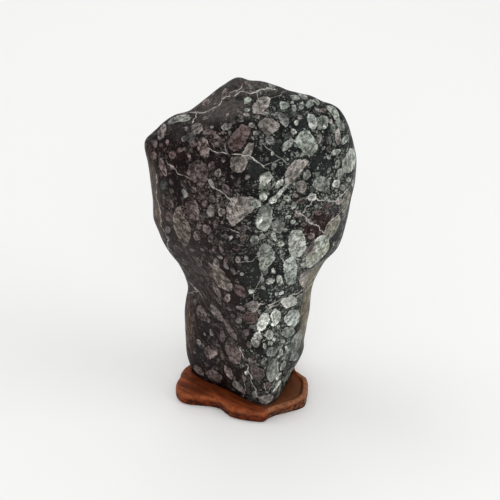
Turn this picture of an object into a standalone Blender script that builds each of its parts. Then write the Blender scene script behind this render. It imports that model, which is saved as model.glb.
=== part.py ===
"""A suiseki: one upright natural stone standing in the seat of a low carved wooden stand.

Metres, +Z up. The origin is on the flat underside of the stand, below the middle of the stone's foot.
-Y is the front, which faces the viewer, and +X is the viewer's right.
"""

import math

import bmesh
import bpy
import numpy as np
from mathutils import Vector

MM = 0.001

# The stone. Each ridge runs up the stone as (X, Y) in millimetres, one pair for each height.
RIDGE_HEIGHTS = (12, 24, 38, 67, 95, 115, 130, 150, 171, 193, 215, 240)
RIDGES = {
    "front": (
        (21.5, -38.5), (21, -38.5), (19.5, -38), (12.5, -36.5), (7, -35), (3, -36),
        (-1, -38.5), (0, -43), (1, -47), (8, -49), (7, -46), (5, -38),
    ),
    "right_front": (
        (35.3, -9), (38, -8), (39, -8), (40.5, -9), (43.5, -10), (50.5, -11),
        (60.5, -13), (66.5, -15), (70.5, -17), (73.5, -16), (72, -13), (65, -8),
    ),
    "right": (
        (42, 12), (51.5, 12), (52.5, 11), (54, 11), (57, 12), (65, 12),
        (75.5, 12), (79.5, 12), (82.5, 12), (85, 12), (82.5, 12), (77, 12),
    ),
    "back_right": (
        (21, 37), (24, 40), (25, 42), (28, 43), (30, 42), (34, 43),
        (38, 45), (42, 48), (46, 51), (48, 52), (46, 48), (40, 41),
    ),
    "back_left": (
        (-20, 34), (-23, 36), (-24, 37), (-26, 37), (-27, 36), (-30, 37),
        (-33, 39), (-36, 42), (-38, 45), (-40, 46), (-40, 42), (-38, 36),
    ),
    "left": (
        (-43.5, 11), (-45.5, 11), (-46.5, 10), (-47, 9), (-44, 8), (-51.5, 7),
        (-60.5, 6), (-67.5, 5), (-69.5, 5), (-69.5, 4), (-72.5, 4), (-67.5, 7),
    ),
    "left_front": (
        (-38, 2.5), (-35.5, -2), (-34.5, -4), (-33, -6.5), (-32.5, -9), (-37, -11),
        (-43, -14), (-49, -16), (-54, -18), (-58, -17), (-61, -13), (-58, -6),
    ),
}
CORNER_HEIGHTS = (10, 90, 160, 220)
CORNER_ROUNDS = (3.6, 3.8, 6.0, 5.5)

# The crest runs over the top from left to right as (X, Y, Z), and the top falls away to both sides of it.
CREST = (
    (-84, 2, 196), (-77, 5, 211), (-69, 9, 221.8), (-60, 12, 229.8), (-48, 15, 237.6), (-37, 18, 240.8),
    (-25, 21, 249.6), (-14, 23, 258), (-4, 24, 263.5), (7, 24, 261.4), (19, 23, 259.6), (28, 20, 257.5),
    (38, 15, 256), (48, 11, 254.8), (57, 9, 250.6), (65, 8, 248.6), (72, 7, 245.4), (80, 6, 233.5),
    (90, 5, 206),
)
FRONT_FALL = ((-70, 0.34), (-45, 0.20), (-20, 0.17), (2, 0.26), (20, 0.34), (45, 0.32), (75, 0.36))
BACK_FALL = ((-70, 0.55), (-30, 0.75), (0, 0.95), (40, 0.80), (75, 0.60))
CREST_ROUND = 5.0
# How softly the top turns into the sides, as (X, rounding): sharper at the two shoulders than between them.
TOP_ROUNDS = ((-75, 1.8), (-50, 4.2), (50, 4.2), (75, 2.8))

# Shallow hollows and swellings worn in the surface: centre, radii and depth, all in millimetres.
DENTS = (
    ((-25, 0, 244), (22, 20, 14), 2.4),
    ((55, -24, 172), (15, 14, 12), 1.6),
    ((-48, -16, 122), (24, 18, 22), 1.8),
    ((33, 18, 258), (4, 12, 8), 0.9),
    ((52, -6, 110), (14, 14, 14), 1.3),
    ((-72, 6, 220), (8, 12, 7), -1.6),
    ((-72, 4, 202), (8, 18, 12), 1.6),
    ((46, -4, 252), (12, 14, 12), -1.4),
    ((6, 50, 148), (34, 16, 42), 2.2),
    ((-22, 46, 212), (22, 16, 18), -1.6),
    ((32, 44, 58), (20, 14, 26), 1.3),
    ((-70, 8, 176), (12, 16, 14), 1.0),
)

# The foot is one flat cut, which stands on the floor of the seat. Just above the seat the stone draws in
# to a toe, and its side to the left front is a little hollow. Level loops of vertices hold the toe's shape.
FOOT_HEIGHT = 6.0
TOE_INSET = 1.0
TOE_HEIGHTS = (10.3, 16.5)
TOE_LOOPS = (10.3, 12.4, 16.5)
LOOP_MERGE = 0.3
HOLLOWS = (((-12, -15, 8), (16, 14, 12), 1.8), ((22, -37, 9), (12, 9, 16), 2.4))
ROOT_HEIGHT = -4.0
ROOT_ROUND = 3.0
AXIS_LOW = (2.0, 2.0, 32.0)
AXIS_HIGH = (6.0, 2.0, 190.0)
LOW_TURN, HIGH_TURN = 0.16, 0.66
REACH = 150.0
BISECTIONS = 26
STONE_COLUMNS, STONE_ROWS = 80, 44

# The stand. Its outline is walked anticlockwise from the right as (X, Y) in millimetres.
OUTLINE = (
    (51.3, -2.5), (47, 4), (43, 10), (42, 15), (41.5, 22), (38.5, 31), (31, 39.5), (18, 45), (0, 46), (-18, 44),
    (-31, 37.5), (-38.5, 27), (-41.5, 19.8), (-44.6, 16.8), (-47.4, 13.4), (-49.6, 8.2), (-50.5, 2),
    (-52.5, -4), (-53, -9), (-51.5, -15.5), (-48, -20), (-43, -22.3), (-35, -23.8), (-27, -25),
    (-21, -26.7), (-16, -30), (-12.5, -34.5), (-9, -38), (-3, -40.8), (4, -42.7), (11, -44), (17, -44.3),
    (21.5, -42.5), (28, -38.5), (34, -35.8), (42, -31.5), (46.5, -27.6), (49.8, -23.3), (50.7, -19),
    (51.5, -14), (51.8, -8),
)
# Side and lip as (inset from the outline, height), where the lip is plain and where it is a raised rim.
PLAIN_LIP = (
    (1.8, 0), (0.7, 0.5), (0.2, 1.8), (0.0, 4.9), (0.2, 7.4),
    (1.0, 8.9), (2.3, 9.6), (3.8, 9.95), (5.4, 10.0), (7.0, 10.0),
)
RIM_LIP = (
    (4.2, 0), (3.2, 0.6), (2.4, 2.0), (1.2, 5.0), (0.1, 8.4),
    (0.2, 9.9), (1.0, 10.8), (3.2, 10.9), (4.2, 10.0), (5.4, 8.6),
)
RIM_SPAN_DEG = (-66, 9)
RIM_FADE_DEG = 9
# The first points of the rim's lip are its side. It stands upright at the right end: its inset shrinks to a share.
RIM_SIDE_POINTS = 5
STEEP_TURN_DEG = (-44, -26)
STEEP_SHARE = 0.15
FLOOR_HEIGHT = 9.2
FLOOR_SLOPE_X = -0.014
SEAT_DEPTH_HEIGHT = 5.7
SEAT_CLEARANCE = 0.45
SEAT_ROUND = 0.7
NARROWEST_LEDGE = 1.4
STAND_COLUMNS = 96


def start_empty():
    for thing in list(bpy.data.objects):
        bpy.data.objects.remove(thing, do_unlink=True)


def material(name, colour, roughness):
    mat = bpy.data.materials.new(name)
    mat.use_nodes = True
    shader = mat.node_tree.nodes["Principled BSDF"]
    shader.inputs["Base Color"].default_value = (*colour, 1.0)
    shader.inputs["Roughness"].default_value = roughness
    shader.inputs["Metallic"].default_value = 0.0
    mat.diffuse_color = (*colour, 1.0)
    return mat


def along(place, stops, values):
    """A smooth curve through the values at the stops, which holds the end values beyond them."""
    stops, values = np.asarray(stops, float), np.asarray(values, float)
    slopes = np.gradient(values, stops, axis=0)
    place = np.clip(place, stops[0], stops[-1])
    i = np.clip(np.searchsorted(stops, place, side="right") - 1, 0, len(stops) - 2)
    step = stops[i + 1] - stops[i]
    t = (place - stops[i]) / step
    start, end = (2 * t - 3) * t * t + 1, (3 - 2 * t) * t * t
    return (
        start * values[i] + end * values[i + 1]
        + ((t - 2) * t + 1) * t * step * slopes[i] + (t - 1) * t * t * step * slopes[i + 1]
    )


def soft_max(parts, blend):
    """The largest of the parts, with the change from one to the next rounded over the blend."""
    top = np.max(parts, axis=0)
    return top + blend * np.log(sum(np.exp((part - top) / blend) for part in parts))


def soft_rise(amount, blend):
    """The amount where it is positive and nothing where it is negative, rounded at the change."""
    return 0.5 * (amount + np.sqrt(amount * amount + blend * blend))


def dents(x, y, z, places):
    """How far the surface is worn in at a point, by rounded hollows of given centre, radii and depth."""
    worn = 0
    for centre, radii, depth in places:
        away = sum(((p - c) / r) ** 2 for p, c, r in zip((x, y, z), centre, radii))
        worn = worn + depth * np.exp(-away)
    return worn


def section_field(x, y, z):
    """How far a point is outside the stone's level section at its height, negative inside."""
    corners = [
        (along(z, RIDGE_HEIGHTS, [p[0] for p in ridge]), along(z, RIDGE_HEIGHTS, [p[1] for p in ridge]))
        for ridge in RIDGES.values()
    ]
    sides = []
    for (ax, ay), (bx, by) in zip(corners, corners[1:] + corners[:1]):
        run, rise = bx - ax, by - ay
        sides.append(((x - ax) * rise - (y - ay) * run) / np.hypot(run, rise))
    rounding = along(z, CORNER_HEIGHTS, CORNER_ROUNDS)
    low, high = TOE_HEIGHTS
    toe = TOE_INSET * np.clip((high - z) / (high - low), 0, 1) ** 2
    return soft_max(sides, rounding) - 0.45 * rounding + toe + dents(x, y, z, HOLLOWS)


def top_height(x, y):
    """The height of the stone's top over a point of the plan."""
    stops = [p[0] for p in CREST]
    offset = y - along(x, stops, [p[1] for p in CREST])
    front = along(x, *zip(*FRONT_FALL)) * soft_rise(-offset, CREST_ROUND)
    back = along(x, *zip(*BACK_FALL)) * soft_rise(offset, CREST_ROUND)
    return along(x, stops, [p[2] for p in CREST]) - front - back


def stone_field(x, y, z):
    """Negative inside the uncut stone and positive outside it, in millimetres near the surface."""
    field = soft_max([section_field(x, y, z), (z - top_height(x, y)) * 0.8], along(x, *zip(*TOP_ROUNDS)))
    return soft_max([field + dents(x, y, z, DENTS), ROOT_HEIGHT - z], ROOT_ROUND)


def stone_rays(turn, rise):
    """Start and direction of the ray for each point of the surface. The rays go straight down at rise 0, turn
    level, climb along an axis up the middle of the stone, and turn straight up at rise 1."""
    climb = np.clip((rise - LOW_TURN) / (HIGH_TURN - LOW_TURN), 0, 1)[..., None]
    up = np.clip((rise - HIGH_TURN) / (1 - HIGH_TURN), 0, 1)
    down = np.clip(1 - rise / LOW_TURN, 0, 1)
    tilt = (up - down) * math.pi / 2
    start = np.array(AXIS_LOW) * (1 - climb) + np.array(AXIS_HIGH) * climb
    angle = 2 * math.pi * turn
    way = np.stack([np.cos(tilt) * np.cos(angle), np.cos(tilt) * np.sin(angle), np.sin(tilt)], axis=-1)
    return start, way


def leave_stone(start, way):
    """The point in which each ray leaves the stone, found by halving."""
    near, far = np.zeros(way.shape[:-1]), np.full(way.shape[:-1], REACH)
    for _ in range(BISECTIONS):
        middle = (near + far) / 2
        spot = start + way * middle[..., None]
        inside = stone_field(spot[..., 0], spot[..., 1], spot[..., 2]) < 0
        near, far = np.where(inside, middle, near), np.where(inside, far, middle)
    return start + way * ((near + far) / 2)[..., None]


def add_object(name, form, mat, smooth_deg):
    bmesh.ops.recalc_face_normals(form, faces=form.faces[:])
    for face in form.faces:
        face.smooth = True
    for edge in form.edges:
        edge.smooth = edge.calc_face_angle(0.0) < math.radians(smooth_deg)
    mesh = bpy.data.meshes.new(name)
    form.to_mesh(mesh)
    form.free()
    mesh.materials.append(mat)
    obj = bpy.data.objects.new(name, mesh)
    bpy.context.scene.collection.objects.link(obj)
    return obj


def cut_foot(form):
    """Removes all that is below the foot and closes the cut with one level face."""
    whole = form.verts[:] + form.edges[:] + form.faces[:]
    bmesh.ops.bisect_plane(
        form, geom=whole, dist=1e-6, plane_co=(0, 0, FOOT_HEIGHT * MM), plane_no=(0, 0, -1), clear_outer=True
    )
    bmesh.ops.holes_fill(form, edges=[edge for edge in form.edges if edge.is_boundary])


def shape_toe(form):
    """Cuts the level loops, then moves each vertex of the toe out or in from the axis to the surface."""
    for height in TOE_LOOPS:
        whole = form.verts[:] + form.edges[:] + form.faces[:]
        bmesh.ops.bisect_plane(
            form, geom=whole, dist=LOOP_MERGE * MM, plane_co=(0, 0, height * MM), plane_no=(0, 0, 1)
        )
    top = (TOE_LOOPS[-1] + LOOP_MERGE) * MM
    low = [vertex for vertex in form.verts if vertex.co.z < top]
    spots = np.array([tuple(vertex.co) for vertex in low]) / MM
    start = np.column_stack([np.full(len(low), AXIS_LOW[0]), np.full(len(low), AXIS_LOW[1]), spots[:, 2]])
    way = spots - start
    way /= np.linalg.norm(way, axis=1, keepdims=True)
    for vertex, spot in zip(low, leave_stone(start, way)):
        vertex.co = Vector(spot * MM)


def make_stone(mat):
    """A sphere of even columns and rows, each vertex moved to the surface, then cut level at the foot."""
    form = bmesh.new()
    bmesh.ops.create_uvsphere(form, u_segments=STONE_COLUMNS, v_segments=STONE_ROWS, radius=1.0)
    ball = np.array([tuple(vertex.co) for vertex in form.verts])
    turn = np.arctan2(ball[:, 1], ball[:, 0]) / (2 * math.pi)
    rise = 0.5 + np.arcsin(np.clip(ball[:, 2], -1, 1)) / math.pi
    for vertex, spot in zip(form.verts, leave_stone(*stone_rays(turn, rise))):
        vertex.co = Vector(spot * MM)
    cut_foot(form)
    shape_toe(form)
    return add_object("stone", form, mat, 50)


def outline_radius(angle):
    """Distance from the origin to the stand's outline in each direction."""
    points = np.array(OUTLINE, float)
    around = np.unwrap(np.arctan2(points[:, 1], points[:, 0]))
    size = np.hypot(points[:, 0], points[:, 1])
    stops = np.concatenate([around[-4:] - 2 * math.pi, around, around[:4] + 2 * math.pi])
    values = np.concatenate([size[-4:], size, size[:4]])
    return along(np.mod(angle - around[0], 2 * math.pi) + around[0], stops, values)


def seat_radius(angle):
    """Distance from the origin to the wall of the seat, which clears the stone's foot by a little."""
    near, far = np.zeros(angle.shape), np.full(angle.shape, 80.0)
    for _ in range(BISECTIONS):
        middle = (near + far) / 2
        x, y = middle * np.cos(angle), middle * np.sin(angle)
        inside = section_field(x, y, np.full(x.shape, TOE_HEIGHTS[0])) < SEAT_CLEARANCE
        near, far = np.where(inside, middle, near), np.where(inside, far, middle)
    return (near + far) / 2


def rim_share(angle):
    """One where the lip is a raised rim and nothing where it is plain, with a short change between."""
    degrees = np.degrees(np.mod(angle + math.pi, 2 * math.pi) - math.pi)
    low, high = RIM_SPAN_DEG
    share = np.clip(np.minimum(degrees - low, high - degrees) / RIM_FADE_DEG + 0.5, 0, 1)
    return share * share * (3 - 2 * share)


def side_share(angle):
    """Share of the rim side's inset that is left in each direction: all in front, little at the right end."""
    degrees = np.degrees(np.mod(angle + math.pi, 2 * math.pi) - math.pi)
    low, high = STEEP_TURN_DEG
    turn = np.clip((degrees - low) / (high - low), 0, 1)
    return 1 - (1 - STEEP_SHARE) * turn * turn * (3 - 2 * turn)


def floor_height(x):
    return FLOOR_HEIGHT + FLOOR_SLOPE_X * x


def stand_rings(angle):
    """The stand's rings, from the underside out round the lip and in over the floor to the seat's bottom."""
    outer, seat, rim = outline_radius(angle), seat_radius(angle), rim_share(angle)
    shrink = np.minimum(1.0, (outer - seat - NARROWEST_LEDGE - SEAT_ROUND) / PLAIN_LIP[-1][0])
    side = side_share(angle)
    rings = []
    for i, ((plain_in, plain_z), (rim_in, rim_z)) in enumerate(zip(PLAIN_LIP, RIM_LIP)):
        rim_in = rim_in * side if i < RIM_SIDE_POINTS else rim_in
        inset = plain_in * (1 - rim) + rim_in * rim
        rings.append((outer - inset * shrink, plain_z * (1 - rim) + rim_z * rim))
    edge = seat + SEAT_ROUND
    level = floor_height(edge * np.cos(angle))
    last_radius, last_height = rings[-1]
    rings.append((last_radius * 0.5 + edge * 0.5, last_height * 0.35 + level * 0.65))
    rings.append((edge, level))
    rings.append((seat + 0.25 * SEAT_ROUND, level - 0.25 * SEAT_ROUND))
    rings.append((seat, level - SEAT_ROUND))
    rings.append((seat, np.full(angle.shape, SEAT_DEPTH_HEIGHT)))
    return rings


def make_stand(mat):
    form = bmesh.new()
    angle = np.arange(STAND_COLUMNS) * 2 * math.pi / STAND_COLUMNS
    loops = []
    for radius, height in stand_rings(angle):
        spots = zip(radius * np.cos(angle), radius * np.sin(angle), np.broadcast_to(height, angle.shape))
        loops.append([form.verts.new(Vector(spot) * MM) for spot in spots])
    for lower, upper in zip(loops, loops[1:]):
        for i in range(STAND_COLUMNS):
            k = (i + 1) % STAND_COLUMNS
            form.faces.new((lower[i], lower[k], upper[k], upper[i]))
    form.faces.new(loops[0][::-1])
    form.faces.new(loops[-1])
    return add_object("stand", form, mat, 35)


def main():
    start_empty()
    make_stone(material("stone", (0.075, 0.072, 0.068), 0.45))
    make_stand(material("wood", (0.105, 0.032, 0.014), 0.42))


main()
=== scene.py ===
"""The looks of a viewing stone: dark rock full of pale pebbles, on a low stand of reddish-brown wood.

Every length in the shape functions is in millimetres, and the finished meshes are in metres. -Y is the front.
"""

import math

import bpy
import numpy as np
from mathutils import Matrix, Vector


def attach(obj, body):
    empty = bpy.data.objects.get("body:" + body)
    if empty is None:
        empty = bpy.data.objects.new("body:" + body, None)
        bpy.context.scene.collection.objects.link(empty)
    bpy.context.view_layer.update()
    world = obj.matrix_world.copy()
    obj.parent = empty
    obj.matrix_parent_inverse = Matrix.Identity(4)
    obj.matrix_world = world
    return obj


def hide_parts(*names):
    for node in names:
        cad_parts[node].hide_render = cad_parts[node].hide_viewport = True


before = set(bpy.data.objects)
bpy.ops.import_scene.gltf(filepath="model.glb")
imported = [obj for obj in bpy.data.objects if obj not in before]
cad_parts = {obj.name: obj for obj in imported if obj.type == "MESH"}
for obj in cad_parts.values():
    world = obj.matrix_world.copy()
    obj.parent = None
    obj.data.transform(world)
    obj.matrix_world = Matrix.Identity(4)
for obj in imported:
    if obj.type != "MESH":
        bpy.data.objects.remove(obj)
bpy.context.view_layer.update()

MM = 0.001

# The camera looks at the aim from the front and above. A picture has this many pixels on each side.
AIM = np.array((6.0, 0.0, 130.0))
CAMERA_DISTANCE = 1000.0
CAMERA_TILT = math.radians(32)
LENS, SENSOR = 96.0, 36.0
PICTURE = 500
RIGHT = np.array((1.0, 0.0, 0.0))
UP = np.array((0.0, math.sin(CAMERA_TILT), math.cos(CAMERA_TILT)))
FORWARD = np.array((0.0, math.cos(CAMERA_TILT), -math.sin(CAMERA_TILT)))
EYE = AIM - CAMERA_DISTANCE * FORWARD
SIGHT_STEPS = np.arange(820.0, 1180.0, 2.0)
SIGHT_HALVINGS = 12

# The stone, with the same values as its solid. Each ridge is (X, Y) for each height.
RIDGE_HEIGHTS = (12, 24, 38, 67, 95, 115, 130, 150, 171, 193, 215, 240)
RIDGES = {
    "front": (
        (21.5, -38.5), (21, -38.5), (19.5, -38), (12.5, -36.5), (7, -35), (3, -36), (-1, -38.5), (0, -43),
        (1, -47), (8, -49), (7, -46), (5, -38),
    ),
    "right_front": (
        (35.3, -9), (38, -8), (39, -8), (40.5, -9), (43.5, -10), (50.5, -11), (60.5, -13), (66.5, -15),
        (70.5, -17), (73.5, -16), (72, -13), (65, -8),
    ),
    "right": (
        (42, 12), (51.5, 12), (52.5, 11), (54, 11), (57, 12), (65, 12), (75.5, 12), (79.5, 12), (82.5, 12),
        (85, 12), (82.5, 12), (77, 12),
    ),
    "back_right": (
        (21, 37), (24, 40), (25, 42), (28, 43), (30, 42), (34, 43), (38, 45), (42, 48), (46, 51), (48, 52),
        (46, 48), (40, 41),
    ),
    "back_left": (
        (-20, 34), (-23, 36), (-24, 37), (-26, 37), (-27, 36), (-30, 37), (-33, 39), (-36, 42), (-38, 45),
        (-40, 46), (-40, 42), (-38, 36),
    ),
    "left": (
        (-43.5, 11), (-45.5, 11), (-46.5, 10), (-47, 9), (-44, 8), (-51.5, 7), (-60.5, 6), (-67.5, 5),
        (-69.5, 5), (-69.5, 4), (-72.5, 4), (-67.5, 7),
    ),
    "left_front": (
        (-38, 2.5), (-35.5, -2), (-34.5, -4), (-33, -6.5), (-32.5, -9), (-37, -11), (-43, -14), (-49, -16),
        (-54, -18), (-58, -17), (-61, -13), (-58, -6),
    ),
}
CORNER_HEIGHTS = (10, 90, 160, 220)
CORNER_ROUNDS = (3.6, 3.8, 6.0, 5.5)
ROUND_SHARE = 0.45
CREST = (
    (-84, 2, 196), (-77, 5, 211), (-69, 9, 221.8), (-60, 12, 229.8), (-48, 15, 237.6), (-37, 18, 240.8),
    (-25, 21, 249.6), (-14, 23, 258), (-4, 24, 263.5), (7, 24, 261.4), (19, 23, 259.6), (28, 20, 257.5),
    (38, 15, 256), (48, 11, 254.8), (57, 9, 250.6), (65, 8, 248.6), (72, 7, 245.4), (80, 6, 233.5),
    (90, 5, 206),
)
FRONT_FALL = ((-70, 0.34), (-45, 0.20), (-20, 0.17), (2, 0.26), (20, 0.34), (45, 0.32), (75, 0.36))
BACK_FALL = ((-70, 0.55), (-30, 0.75), (0, 0.95), (40, 0.80), (75, 0.60))
CREST_ROUND = 5.0
TOP_ROUNDS = ((-75, 1.8), (-50, 4.2), (50, 4.2), (75, 2.8))
TOP_SHARE = 0.8
DENTS = (
    ((-25, 0, 244), (22, 20, 14), 2.4), ((55, -24, 172), (15, 14, 12), 1.6),
    ((-48, -16, 122), (24, 18, 22), 1.8), ((33, 18, 258), (4, 12, 8), 0.9),
    ((52, -6, 110), (14, 14, 14), 1.3), ((-72, 6, 220), (8, 12, 7), -1.6),
    ((-72, 4, 202), (8, 18, 12), 1.6), ((46, -4, 252), (12, 14, 12), -1.4),
    ((6, 50, 148), (34, 16, 42), 2.2), ((-22, 46, 212), (22, 16, 18), -1.6),
    ((32, 44, 58), (20, 14, 26), 1.3), ((-70, 8, 176), (12, 16, 14), 1.0),
)
HOLLOWS = (((-12, -15, 8), (16, 14, 12), 1.8), ((22, -37, 9), (12, 9, 16), 2.4))
FOOT_HEIGHT = 6.0
FOOT_ROUND = 0.5
TOE_INSET = 1.0
TOE_HEIGHTS = (10.3, 16.5)
AXIS_LOW = np.array((2.0, 2.0, 32.0))
AXIS_HIGH = np.array((6.0, 2.0, 190.0))
LOW_TURN, HIGH_TURN = 0.16, 0.66
REACH = 150.0
HALVINGS = 24

# Fine form of the stone's skin: slow swells, and a grid that is closest on the front.
SWELLS, SWELL_LENGTHS, SWELL_SHARE, SWELL_SEED = 26, (11.0, 44.0), 0.0024, 11
SWELL_SOFTNESS = 0.93
SWELL_FREE_HEIGHTS = (13.0, 26.0)
STONE_COLUMNS, STONE_ROWS = 340, 290
FRONT_CROWDING, FRONT_TURN = 0.40, 0.75
HIDDEN_HEIGHT, HIDDEN_SHARE = 7.5, 0.12
SEEN_FACING = 0.12

# Tones of the pebbles and of the rock, as display colours from 0 to 255.
TONES = {
    "white": (190, 194, 184), "bright": (164, 167, 158), "pale_green": (160, 168, 160),
    "green": (121, 126, 118), "green_light": (144, 151, 141), "grey": (114, 114, 110),
    "mauve": (92, 81, 79), "mauve_light": (112, 99, 96), "tan": (114, 108, 103),
    "tan_light": (137, 130, 124), "reddish": (84, 68, 65), "olive": (108, 100, 90),
    "olive_mid": (122, 120, 108), "cream": (170, 172, 158), "dark": (60, 61, 61),
}

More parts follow.
